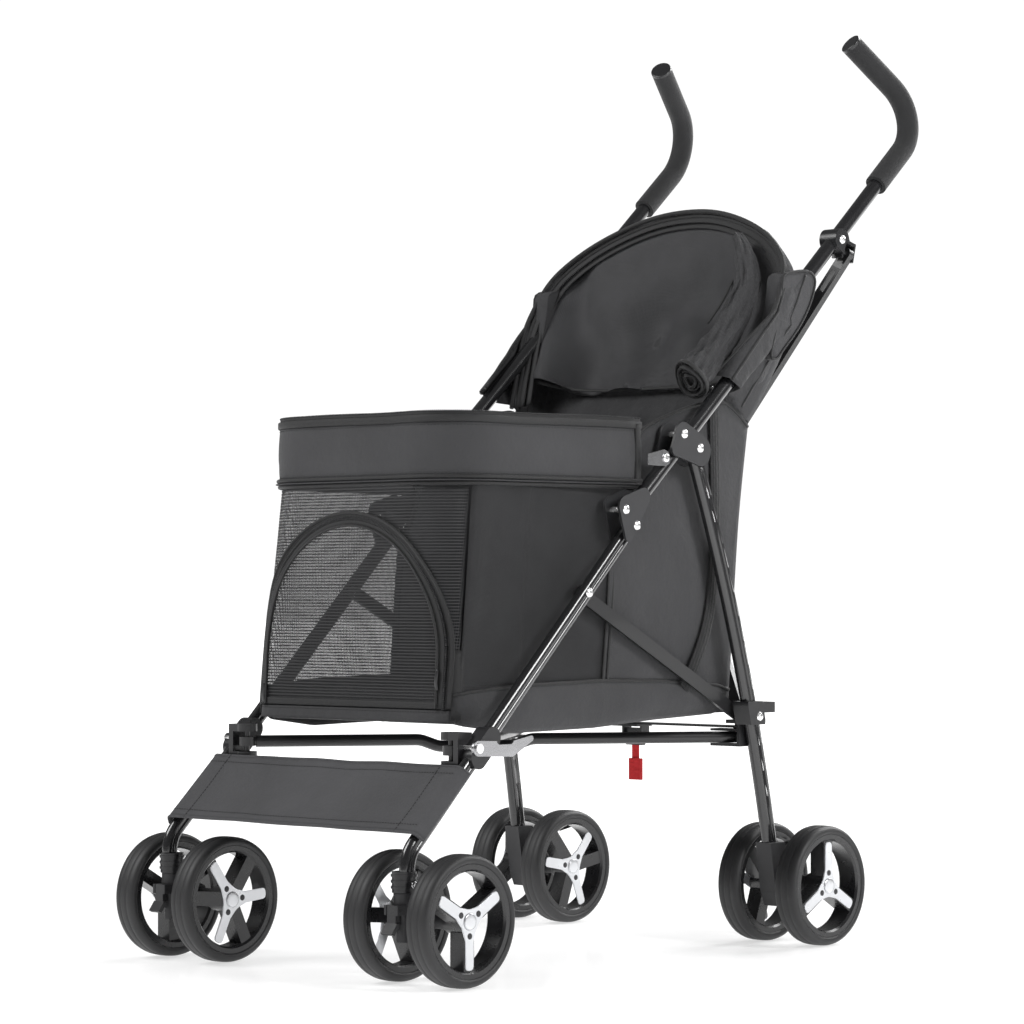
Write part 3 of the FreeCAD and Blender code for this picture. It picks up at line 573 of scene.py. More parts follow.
def front_edge_x(z):
    """Where the front net meets the side net, part-way round the corner."""
    return CABIN_FRONT_HALF - corner_radius(z) * (1 - math.sin(math.radians(60)))


def on_front(x, z, proud=0.0):
    """A point of the cabin's front, whose corners curve back."""
    r = corner_radius(z)
    over = max(0.0, abs(x) - (CABIN_FRONT_HALF - r))
    y = CABIN_FRONT_Y + r - math.sqrt(max(0.0, r * r - over * over)) - proud
    return at(x, y, z)


def off_the_front(p):
    """The direction out of the cabin's slightly rounded front at a point."""
    return Vector((p.x * 0.8, -1, 0)).normalized()


def side_x(y, z):
    """Half width of the cabin's side at a distance along it."""
    flare = CABIN_FRONT_HALF + 9 * smooth_step((y + 226) / 170)
    return flare + 1.5 * math.sin(math.pi * smooth_step((z - FLOOR_Z) / 260))


def on_side(way, y, z, proud=0.0):
    r = corner_radius(z)
    start = CABIN_FRONT_Y + r
    if y < start:
        angle = math.acos(min(1.0, (start - y) / r))
        base = side_x(start, z) - r
        return at(way * (base + (r + proud) * math.sin(angle)), start - (r + proud) * math.cos(angle), z)
    return at(way * (side_x(y, z) + proud), y, z)


def window_end(z):
    """Where the side net stops and the solid side begins."""
    return table_value([(FLOOR_Z, -6), (293, -3), (450, 10), (NET_TOP, 40)], z)


DOOR_HALF, DOOR_LOW, DOOR_SPRING, DOOR_TOP = 137, 277, 330, 477


def door_line(steps=40, grow=0.0):
    """(x, z) pairs up the doorway's left side, over its arch and down its right side."""
    w, rise = DOOR_HALF + grow, DOOR_TOP - DOOR_SPRING + grow
    line = [(-w, DOOR_LOW + (DOOR_SPRING - DOOR_LOW) * i / 6) for i in range(6)]
    for i in range(steps + 1):
        a = math.pi * i / steps
        line.append((-w * math.cos(a), DOOR_SPRING + rise * math.sin(a)))
    return line + [(w, DOOR_SPRING - (DOOR_SPRING - DOOR_LOW) * (i + 1) / 6) for i in range(6)]


def hoop_line(z, grow=0.0):
    """The band's U shape in plan, from its rear left end round the front to its rear right end."""
    corner, front = 70, CABIN_FRONT_Y + 2 - grow
    plan = [(176 + grow, 44), (156 + grow, front + 91), (150 + grow, front)]
    left = [Vector((x, y, z)) for x, y in plan]
    right = [Vector((-p.x, p.y, z)) for p in reversed(left)]
    run = rounded(left[1:] + right[:-1], corner + grow, 14)
    start = [between(left[0], left[1], t / 8) for t in range(8)]
    end = [between(right[-2], right[-1], t / 8) for t in range(1, 9)]
    middle = []
    for a, b in zip(run, run[1:]):
        count = max(1, round((b - a).length / 14))
        middle += [between(a, b, t / count) for t in range(count)]
    return [at(*p) for p in start + middle + [run[-1]] + end]


def rim_line(lift, grow):
    """The band's upper edge, slightly uneven as sewn cloth is."""
    run = hoop_line(BAND_TOP + lift, grow)
    return [p + Vector((0, 0, (1.0 + 1.4 * noise.noise(p * 13)) * MM)) for p in run]


def from_band_middle(p):
    """The level direction from the middle of the band's plan to a point."""
    return Vector((p.x, p.y - at(0, BAND_MIDDLE_Y, 0).y, 0)).normalized()


# ------------------------------------------------------------------ shapes of the hood
HOOD_FOOT = Vector((0, 205, 618))  # millimetres, midway between the arch's feet
HANDLE_LOW_Y, HANDLE_LOW_Z = 16, 482.6  # a point low on the handle tube's middle line
HANDLE_SLOPE = math.radians(41.56)
ACROSS_TUBE = 0.943  # sine of the angle between the handle tube and the hood's depth
WING_MIDDLE_Y, WING_MIDDLE_Z = 292, 0.722
HOOD_LEAN = math.radians(29)
HOOD_UP = Vector((0, math.sin(HOOD_LEAN), math.cos(HOOD_LEAN)))
HOOD_BACK = Vector((0, HOOD_UP.z, -HOOD_UP.y))
HOOD_ARCH = [(163, 0), (178, 55), (191, 110), (187, 155), (174, 188), (142, 219), (100, 243), (50, 260),
             (0, 265)]


def hood_line(scale=1.0, depth=0.0, count=5, about=110, least=-99):
    """The hood's arch from foot to foot over the top, scaled about a point on its middle line."""
    points = HOOD_ARCH + [(-x, s) for x, s in reversed(HOOD_ARCH[:-1])]
    low = [Vector((x * scale, 0, 0)) + HOOD_UP * max(least, about + (s - about) * scale) + HOOD_BACK * depth
           for x, s in points]
    return [at(p.x, p.y + HOOD_FOOT.y, p.z + HOOD_FOOT.z) for p in flowing(low, count)]


def from_wing_middle(p):
    """The direction from the middle of a wing's outline to a point, seen from the side."""
    return Vector((0, p.y - at(0, WING_MIDDLE_Y, 0).y, p.z - WING_MIDDLE_Z)).normalized()


# ------------------------------------------------------------------ sizes and colours
class STROLLER_PG_colours(bpy.types.PropertyGroup):
    frame: bpy.props.FloatVectorProperty(
        name="Frame black", description="Colour of the painted tubes and plastic", subtype="COLOR", size=3,
        default=(0.011, 0.011, 0.012), min=0, max=1)
    cloth: bpy.props.FloatVectorProperty(
        name="Cloth", description="Colour of the woven cloth", subtype="COLOR", size=3,
        default=(0.030, 0.030, 0.032), min=0, max=1)
    steel: bpy.props.FloatVectorProperty(
        name="Steel", description="Colour of the hook and bolts", subtype="COLOR", size=3,
        default=(0.40, 0.40, 0.41), min=0, max=1)
    tag: bpy.props.FloatVectorProperty(
        name="Pull tag", description="Colour of the lock's pull tag", subtype="COLOR", size=3,
        default=(0.52, 0.012, 0.016), min=0, max=1)
    net_pitch: bpy.props.FloatProperty(
        name="Net pitch", description="Distance between the net's threads", default=0.0015, unit="LENGTH")


class STROLLER_PG_sizes(bpy.types.PropertyGroup):
    piping: bpy.props.FloatProperty(
        name="Piping radius", description="Radius of the cord in the piped edges, in millimetres",
        default=2.4)
    stitch_pitch: bpy.props.FloatProperty(
        name="Stitch pitch", description="Distance from stitch to stitch, in millimetres", default=4.0)
    strap_width: bpy.props.FloatProperty(
        name="Side strap width", description="Width of the webbing on the cabin's sides, in millimetres",
        default=17.0)
    camera_lens: bpy.props.FloatProperty(
        name="Lens", description="Focal length of the camera", default=116.9, unit="CAMERA")


class STROLLER_OT_finishes(bpy.types.Operator):
    """Gives every carried-over part of the frame its finish"""
    bl_idname = "stroller.finishes"
    bl_label = "Frame finishes"

    def execute(self, context):
        make_finishes(context.scene.stroller_colours)
        by_ending = {
            "handle_tube": "gloss_black_paint", "grip": "grip_foam", "front_leg": "gloss_black_paint",
            "rear_leg": "gloss_black_paint", "brackets": "grained_black_plastic",
            "fittings": "smooth_black_plastic",
            "rivets": "bright_rivet_steel", "side_strut": "satin_black_paint",
            "rear_housing": "grained_black_plastic",
            "caster_fork": "grained_black_plastic", "swivel_lock": "smooth_black_plastic",
            "brake_lever": "smooth_black_plastic", "tyre": "tyre_rubber", "rim": "rim_plastic",
            "storage_hook": "zinc_steel", "lock_latch": "smooth_black_plastic", "pull_strap": "red_tag_cloth",
        }
        for node, piece in frame["nodes"].items():
            found = [f for ending, f in by_ending.items() if node.endswith(ending)]
            if not found:
                tubes = node.startswith(("seat_tube", "back_bar", "rear_link"))
                found = ["satin_black_paint" if tubes else "cabin_cloth"]
            piece.data.materials.clear()
            piece.data.materials.append(FINISHES[found[0]])
        return {"FINISHED"}


class STROLLER_OT_wheels(bpy.types.Operator):
    """Rounded tyres, silver three-armed trims and hub caps on all eight wheels"""
    bl_idname = "stroller.wheels"
    bl_label = "Wheels"

    def execute(self, context):
        turns = {"front_outer": 180, "front_inner": 205, "rear_outer": 0, "rear_inner": 40}
        for side, way in SIDES:
            for place, turn in turns.items():
                wheel = f"{side}_{place}"
                outside = way * (1 if place.endswith("outer") else -1)
                self.tyre(wheel)
                self.trim(wheel, outside, turn)
        return {"FINISHED"}

    def tyre(self, wheel):
        low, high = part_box(f"{wheel}_tyre")
        centre, half, outer = (low + high) / 2, (high.x - low.x) / 2, (high.z - low.z) / 2
        inner = outer - 9.7 * MM
        line = [(-0.86, 0.0), (-0.97, 0.14), (-1.0, 0.34), (-0.985, 0.52), (-0.93, 0.70), (-0.80, 0.87),
                (-0.60, 0.96),
                (-0.36, 0.99), (-0.32, 0.95), (-0.28, 0.95), (-0.24, 0.995), (-0.08, 1.0)]
        line += [(-a, b) for a, b in reversed(line)]
        rings = 96
        verts, faces = [], []
        for i in range(rings):
            a = 2 * math.pi * i / rings
            for x, r in line:
                reach = inner + (outer - inner) * r
                verts.append(centre + Vector((x * half, reach * math.sin(a), reach * math.cos(a))))
        m = len(line)
        for i in range(rings):
            for k in range(m):
                faces.append((i * m + k, i * m + (k + 1) % m, (i + 1) % rings * m + (k + 1) % m,
                              (i + 1) % rings * m + k))
        piece = finished(f"{wheel}_tyre_tread", verts, faces, "tyre_rubber", normals=True)
        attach(piece, f"{wheel}_wheel")
        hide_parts(f"{wheel}_tyre")

    def trim(self, wheel, outside, turn):
        """A flat silver plate of three arms on the wheel's outer face, with screws and a cap."""
        low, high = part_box(f"{wheel}_rim")
        centre = (low + high) / 2
        face_x = centre.x + outside * 11.2 * MM
        outline = []
        for arm in range(3):
            out = math.radians(90 - arm * 120)
            tip, root, half = 49.0, 19.5, 5.4
            corners = [(root, -half - 0.8), (tip - 4, -half - 0.5), (tip - 1.2, -half + 0.6),
                       (tip, -half + 3),
                       (tip, half - 3), (tip - 1.2, half - 0.6), (tip - 4, half + 0.5), (root, half + 0.8)]
            outline += [(a * math.cos(out) + b * math.sin(out), a * math.sin(out) - b * math.cos(out))
                        for a, b in corners]
            waist = out - math.radians(60)
            for swing, reach in ((28, 15.5), (14, 13.2), (0, 12.6), (-14, 13.2), (-28, 15.5)):
                a = waist + math.radians(swing)
                outline.append((reach * math.cos(a), reach * math.sin(a)))
        spun = Matrix.Rotation(-math.radians(turn), 2)
        points = []
        for a, b in outline:
            y, z = spun @ Vector((a, b))
            points.append(Vector((face_x, centre.y + y * MM, centre.z + z * MM)))
        made = [plate(f"{wheel}_trim_plate", points, "silver_wheel_trim", thickness=(0, outside * 1.8),
                      bevel=0.45)]
        for arm in range(3):
            out = math.radians(90 - arm * 120)
            y, z = spun @ Vector((math.cos(out) * 14.5, math.sin(out) * 14.5))
            spot = Vector((face_x + outside * 1.8 * MM, centre.y + y * MM, centre.z + z * MM))
            made.append(button(f"{wheel}_screw_{arm}", spot, outside, 3.3, 0.5, "grained_black_plastic"))
        hub = Vector((face_x + outside * 2.3 * MM, centre.y, centre.z))
        made.append(button(f"{wheel}_hub_cap", hub, outside, 8.8, 0.9, "silver_wheel_trim"))
        piece = joined(f"{wheel}_trim", made)
        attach(piece, f"{wheel}_wheel")


class STROLLER_OT_cabin(bpy.types.Operator):
    """Net front and sides, solid rear sides, back, skirt, side straps and bindings of the cabin"""
    bl_idname = "stroller.cabin"
    bl_label = "Cabin"

    def execute(self, context):
        sizes = context.scene.stroller_sizes
        self.front_net()
        for side, way in SIDES:
            self.side_net(side, way)
            self.solid_side(side, way, sizes.strap_width)
            self.skirt(side, way)
        self.back()
        self.bindings(sizes)
        return {"FINISHED"}

    def front_net(self):
        inner = door_line(grow=2.0)
        outer = []
        for x, z in inner:
            if z <= DOOR_SPRING + 1:
                outer.append((math.copysign(front_edge_x(z), x), z))
                continue
            dz = z - DOOR_SPRING
            reach = min((NET_TOP - DOOR_SPRING) / dz, front_edge_x(z) / max(abs(x), 1e-3))
            high = DOOR_SPRING + dz * reach
            outer.append((math.copysign(min(abs(x) * reach, front_edge_x(high)), x), high))
        rows = [[on_front(between(a[0], b[0], t / 5), between(a[1], b[1], t / 5)) for a,
                 b in zip(inner, outer)]
                for t in range(6)]
        net = cloth_panel("front_net", rows, "cabin_net", 0.5, plan=lambda p: (p.x, p.z))
        on_cloth(net)
        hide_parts("front_panel")
        declare_sheet((302, 255))
        half = front_edge_x(270)
        hem = [[on_front(-half + 2 * half * i / 40, z, 0.6) for i in range(41)]
               for z in (262.5, 266, 270, 275.5)]
        strip = cloth_panel("front_hem", hem, "cabin_cloth", 1.4)
        on_cloth(strip)
        declare_sheet((300, 14))

    def side_net(self, side, way):
        rows = []
        for i in range(17):
            z = 284 + (NET_TOP - 284) * i / 16
            r = corner_radius(z)
            start = CABIN_FRONT_Y + r * (1 - math.cos(math.radians(60)))
            bend = [CABIN_FRONT_Y + r * (1 - math.cos(math.radians(60 + 30 * k / 5))) for k in range(6)]
            base = bend[-1]
            run = bend + [base + (window_end(z) - base) * k / 14 for k in range(1, 15)]
            sag = 2.5 * math.sin(math.pi * i / 16)
            rows.append([on_side(way, y, z,
                                 -sag * smooth_step((y - start) / 60) * smooth_step((window_end(z) - y) / 60))
                         for y in run])
        net = cloth_panel(f"{side}_side_net", rows, "side_net", 0.5, plan=lambda p: (p.y, p.z))
        on_cloth(net)
        declare_sheet((262, 234))

    def solid_side(self, side, way, strap_width):
        top = [(40, NET_TOP), (52, 556), (64, 577), (108, 594), (150, 606), (182, 611), (204, 612),
               (228, 600), (246, 586)]
        top = flowing([Vector((y, z, 0)) for y, z in top], 4)
        columns = []
        for k, head in enumerate(top):
            t = k / (len(top) - 1)
            foot = Vector((-6 + 219 * t, FLOOR_Z, 0))
            column = []
            for i in range(21):
                u = i / 20
                y, z = between(foot.x, head.x, u), between(foot.y, head.y, u)
                if t < 0.25:
                    y = between(window_end(z) if z <= NET_TOP else head.x, y, t / 0.25)
                y += -6 * math.sin(math.pi * u) * t**3
                bulge = 3.5 * math.sin(math.pi * u) * math.sin(math.pi * t) + 2.5 * u
                x = side_x(y, min(z, 500)) + bulge
                crease = noise.noise(Vector((y / 42, z / 95,
                                             3.0 * way))) * 2.2 * math.sin(math.pi * min(1, u * 1.2))
                column.append(at(way * (x + crease), y, z))
            columns.append(column)
        panel = cloth_panel(f"{side}_solid_side", columns, "cabin_cloth", 1.2)
        on_cloth(panel)
        if side == "left":
            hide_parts("side_panels")
        declare_sheet((262, 352))
        run = [at(way * (side_x(y, z) + 7.2), y, z)
               for y, z in ((181, 603), (182, 560), (183, 500), (179, 430), (172, 380), (160, 345),
                            (143, 314), (128, 292))]
        strap = swept(f"{side}_side_strap", [flowing(run, 6)], strap_profile(strap_width, 1.6),
                      "belt_webbing",
                      facing=always(way, 0, 0))
        on_cloth(strap)
        edge_lines = []
        for shift in (0.0, 7.0):
            edge_lines.append([at(way * (side_x(window_end(z) + shift, z) + 1.6), window_end(z) + shift, z)
                               for z in range(268, 517, 12)])
        trim = swept(f"{side}_window_binding", edge_lines, strap_profile(4.2, 2.2), "binding_tape",
                     facing=always(way, 0, 0))
        on_cloth(trim)
        crest = [p + Vector((0, 0, 0.8 * MM)) for p in (column[-1] for column in columns)]
        lip = swept(f"{side}_top_binding", [crest], round_profile(2.2), "binding_tape")
        on_cloth(lip)

    def skirt(self, side, way):
        """The cloth that hangs and bulges round the floor's edge."""
        low = [(-232, 264), (-205, 259), (-137, 250), (-10, 252), (89, 258), (190, 262), (216, 266)]
        high = [(-232, 288), (-205, 294), (-137, 300), (-10, 303), (89, 301), (190, 294), (216, 288)]
        rows = []
        for i in range(11):
            u = i / 10
            row = []
            for k in range(57):
                y = -219 + 432 * k / 56
                z = between(table_value(low, y), table_value(high, y), u)
                ends = smooth_step((y + 219) / 25) * smooth_step((213 - y) / 30)
                proud = 1.2 + 5.5 * math.sin(math.pi * (0.15 + 0.8 * u)) * ends - 9 * (1 - u) ** 4
                proud += noise.noise(Vector((y / 38, z / 60, way * 7.0))) * 2.4 * ends * math.sin(math.pi * u)
                row.append(on_side(way, y, z, proud))
            rows.append(row)
        panel = cloth_panel(f"{side}_skirt", rows, "cabin_cloth", 1.2)
        on_cloth(panel)
        declare_sheet((445, 56))
        lines = [[p + Vector((way * 0.8 * MM, 0, 0)) for p in rows[-1]]]
        lip = swept(f"{side}_skirt_binding", lines, strap_profile(3.6, 2.0), "binding_tape",
                    facing=always(way, 0, 0))
        on_cloth(lip)

    def back(self):
        """The backrest: soft cloth from the floor up to the hood."""
        rows = []
        for i in range(27):
            u = i / 26
            edge_y = 213 + 34 * u - 6 * math.sin(math.pi * u)
            z = FLOOR_Z + (594 - FLOOR_Z) * u
            half = side_x(edge_y, min(z, 500)) + 2.5 * u
            row = []
            for k in range(37):
                x = half * (-1 + 2 * k / 36)
                inside = 1 - abs(x / half) ** 3
                dent = (4 * math.sin(math.pi * u) + 2.6 * noise.noise(Vector((x / 55, z / 60, 5)))) * inside
                row.append(at(x, edge_y + dent - 2 * inside, z))
            rows.append(row)
        panel = cloth_panel("back_rest", rows, "cabin_cloth", 1.6)
        on_cloth(panel)
        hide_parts("back_panel")
        declare_sheet((312, 330))

    def bindings(self, sizes):
        """Piping along the net's edges and corners, and the stitches beside it."""
        arch = [on_front(x, z, 1.6) for x, z in door_line(grow=4.0)]
        tape = swept("doorway_tape", [arch], strap_profile(8.5, 1.2), "binding_tape",
                     facing=off_the_front)
        on_cloth(tape)
        pipe = [on_front(x, z, 2.6) for x, z in door_line(grow=7.0)]
        cord = swept("doorway_piping", [pipe], round_profile(1.5), "binding_tape")
        on_cloth(cord)
        runs = []
        for way in (1, -1):
            runs.append([on_front(way * front_edge_x(z), z, 1.4) for z in range(266, 340, 8)])
        tape = swept("corner_tape", runs, strap_profile(12, 1.2), "binding_tape",
                     facing=lambda p: Vector((math.copysign(0.87, p.x), -0.5, 0)))
        on_cloth(tape)
        seams = []
        for way in (1, -1):
            for shift in (-4.0, 4.0):
                seams.append([on_front(way * front_edge_x(z), z,
                                       2.2) + Vector((way * shift * 0.5, shift * 0.8, 0)) * MM
                              for z in range(270, 338, 8)])
        seams.append([on_front(x, z, 2.5) for x, z in door_line(grow=3.4)])
        seams.append([on_front(x, z, 1.6) for x, z in ((-140 + 280 * k / 40, 273.4) for k in range(41))])
        stitches = along_lines("cabin_stitches", seams, "stitch_thread", sizes.stitch_pitch, 2.6, 0.7, 0.7)
        on_cloth(stitches)


class STROLLER_OT_front_door(bpy.types.Operator):
    """The zipped net door in the cabin's front"""
    bl_idname = "stroller.front_door"
    bl_label = "Front door"

    def execute(self, context):
        net_rows = []
        for i in range(25):
            z = DOOR_LOW + (DOOR_TOP - DOOR_LOW) * i / 24
            if z <= DOOR_SPRING:
                half = DOOR_HALF
            else:
                half = DOOR_HALF * math.sqrt(max(0.0,
                                                 1 - ((z - DOOR_SPRING) / (DOOR_TOP - DOOR_SPRING)) ** 2))
            half = max(half, 1.0)
            net_rows.append([on_front(half * (-1 + 2 * k / 32), z) for k in range(33)])
        net = cloth_panel("door_net", net_rows, "cabin_net", 0.5, plan=lambda p: (p.x, p.z))
        on_cloth(net, body="door")
        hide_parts("front_door")
        declare_sheet((280, 206))
        edge = [on_front(x, z, 1.2) for x, z in door_line(grow=-3.5)]
        rim = swept("door_edge", [edge], strap_profile(7.5, 1.4), "binding_tape",
                    facing=off_the_front)
        pipe = swept("door_piping", [[on_front(x, z, 2.6) for x, z in door_line(grow=-7.2)]],
                     round_profile(1.4),
                     "binding_tape")
        teeth = along_lines("door_zip", [[on_front(x, z, 2.2) for x, z in door_line(grow=0.6)]],
                            "smooth_black_plastic",
                            2.0, 1.3, 4.4, 1.6)
        foot = swept("door_foot", [[on_front(-136 + 272 * k / 40, 280.5, 1.2) for k in range(41)]],
                     strap_profile(7, 1.4), "binding_tape", facing=always(0, -1, 0))
        pull = []
        for x, z in ((131, 318), (-133, 300)):
            top = on_front(x, z, 4.0)
            run = [top, top + Vector((0.5, -0.6, -5)) * MM, top + Vector((-0.5, -0.8, -12)) * MM,
                   top + Vector((0, 0, -22)) * MM]
            pull.append(flowing(run, 4))
        tabs = swept("door_pulls", pull, strap_profile(4.2, 1.6), "smooth_black_plastic",
                     facing=always(0, -1, 0))
        frill = joined("door_trim", [rim, pipe, teeth, foot, tabs])
        on_cloth(frill, body="door")
        return {"FINISHED"}


class STROLLER_OT_floor_mat(bpy.types.Operator):
    """The padded mat on the cabin's floor"""
    bl_idname = "stroller.floor_mat"
    bl_label = "Floor mat"

    def execute(self, context):
        low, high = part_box("floor_mat")
        high = high + Vector((0, 0, 12 * MM))
        mat = self.pad(low, high)
        self.swell(mat)
        for v in mat.data.vertices:
            v.co.z = min(v.co.z, high.z + 4 * MM)
            v.co.z = max(v.co.z, low.z - 1.5 * MM)
        middle = (low + high) / 2
        for v in mat.data.vertices:
            if v.co.z > middle.z:
                for k in (-2, -1, 0, 1, 2):
                    gap = abs(v.co.y - (middle.y + k * 70 * MM))
                    v.co.z -= 4.0 * MM * math.exp(-(gap / (5 * MM)) ** 2)
        mat.data.update()
        on_cloth(mat)
        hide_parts("floor_mat")
        return {"FINISHED"}

    def pad(self, low, high):
        """A slab with rounded edges, slightly smaller than the space it lies in."""
        work = bmesh.new()
        bmesh.ops.create_cube(work, size=1)
        size, centre = high - low, (low + high) / 2
        for v in work.verts:
            v.co = centre + Vector((v.co.x * (size.x - 3 * MM), v.co.y * (size.y - 3 * MM),
                                    v.co.z * (size.z - 2 * MM)))
        bmesh.ops.bevel(work, geom=list(work.edges), offset=5 * MM, segments=3, affect="EDGES")
        mesh = bpy.data.meshes.new("mat")
        work.to_mesh(mesh)
        work.free()
        mat = placed("mat", mesh)
        voxel = mat.modifiers.new("voxels", "REMESH")
        voxel.mode, voxel.voxel_size, voxel.use_smooth_shade = "VOXEL", 5 * MM, True
        plain = final_mesh(mat)
        plain.materials.clear()
        plain.materials.append(FINISHES["mat_cloth"])
        layer = plain.uv_layers.new(name="Cloth")
        for loop in plain.loops:
            p = plain.vertices[loop.vertex_index].co
            layer.data[loop.index].uv = (p.x, p.y)
        for face in plain.polygons:
            face.use_smooth = True
        return placed("floor_mat_pad", plain)

    def swell(self, mat):
        """Inflates the pad a little with cloth pressure, and caps how far any point moves."""
        rest = [v.co.copy() for v in mat.data.vertices]
        cloth = mat.modifiers.new("swell", "CLOTH")
        cloth.settings.use_pressure = True
        cloth.settings.uniform_pressure_force = 4
        cloth.settings.effector_weights.gravity = 0
        cloth.point_cache.frame_start, cloth.point_cache.frame_end = 1, 20
        scene = bpy.context.scene
        for number in range(1, 21):
            scene.frame_set(number)
        view = bpy.context.evaluated_depsgraph_get()
        moved = [v.co.copy() for v in mat.evaluated_get(view).data.vertices]
        mat.modifiers.remove(cloth)
        scene.frame_set(1)
        for v, a, b in zip(mat.data.vertices, rest, moved):
            step = b - a
            v.co = a + step * min(1.0, 5 * MM / max(step.length, 1e-9))
        mat.data.update()


class STROLLER_OT_front_band(bpy.types.Operator):
    """The stiffened cloth band round the cabin's rim, its bindings, zip tape and steel ends"""
    bl_idname = "stroller.front_band"
    bl_label = "Front band"

    def execute(self, context):
        sizes = context.scene.stroller_sizes
        rows = []
        for i in range(15):
            u = i / 14
            z = BAND_BOTTOM + (BAND_TOP - BAND_BOTTOM) * u
            proud = -1.6 + 1.8 * math.sin(math.pi * u) - 0.7 * math.exp(-((z - 537) / 2.2) ** 2)
            row = hoop_line(z, proud)
            rows.append([p + Vector((0, 0, 0.9 * noise.noise(p * 18) * MM)) for p in row])
        band = cloth_panel("rim_band", rows, "band_cloth", 3.4)
        on_cloth(band)
        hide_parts("front_band")
        declare_sheet((880, 62))
        edges = swept("band_piping", [hoop_line(BAND_BOTTOM + 3, 1.8), hoop_line(BAND_BOTTOM - 3.5, 0.4)],
                      round_profile(sizes.piping), "binding_tape")
        on_cloth(edges)
        lip = swept("band_lip", [hoop_line(BAND_BOTTOM - 0.5, 0.6)], strap_profile(9, 1.4), "band_cloth",
                    facing=always(0, 0, 1))
        on_cloth(lip)
        upright = swept("rim_zip_tape", [rim_line(4.5, -0.9), rim_line(0.5, 1.6)], strap_profile(7.5, 1.8),
                        "binding_tape",
                        facing=from_band_middle)
        on_cloth(upright)
        flat = swept("rim_inner_tape", [rim_line(1.5, -5.0)], strap_profile(9, 1.8), "binding_tape",
                     facing=always(0, 0, 1))
        on_cloth(flat)
        teeth = along_lines("rim_zip", [rim_line(8.2, -0.6)], "smooth_black_plastic", 2.2, 1.4, 3.0, 2.4)
        on_cloth(teeth)
        crease = swept("band_seam", [hoop_line(538.5, 0.1)], round_profile(0.9, 6), "binding_tape")
        on_cloth(crease)
        seam_rows = [hoop_line(z, g) for z, g in ((541.5, 0.6), (523.5, 0.5), (574.5, 0.6))]
        stitches = along_lines("band_stitches", seam_rows, "stitch_thread", sizes.stitch_pitch, 2.8, 0.8, 0.8)
        on_cloth(stitches)
        ends = [[at(way * 176.4, 39, z) for z in range(514, 583, 4)] for way in (1, -1)]
        bind = swept("band_end_bindings", ends, strap_profile(9, 4.4), "binding_tape",
                     facing=lambda p: Vector((math.copysign(1, p.x), 0, 0)))
        on_cloth(bind)
        for side, way in SIDES:
            line = [at(way * 190.5, y, z) for y, z in ((38, 549), (66, 555), (73, 552), (76, 546), (75, 540),
                                                       (69, 536.5), (38, 537))]
            strip = plate(f"{side}_clip_strip", line, "zinc_steel", thickness=(0, way * 1.5), bevel=0.3)
            rivet = button(f"{side}_clip_rivet", at(way * 192, 68, 545.5), way, 5.0, 2.0,
                                              "bright_rivet_steel")
            on_frame(joined(f"{side}_band_clip", [strip, rivet]), side)
        return {"FINISHED"}


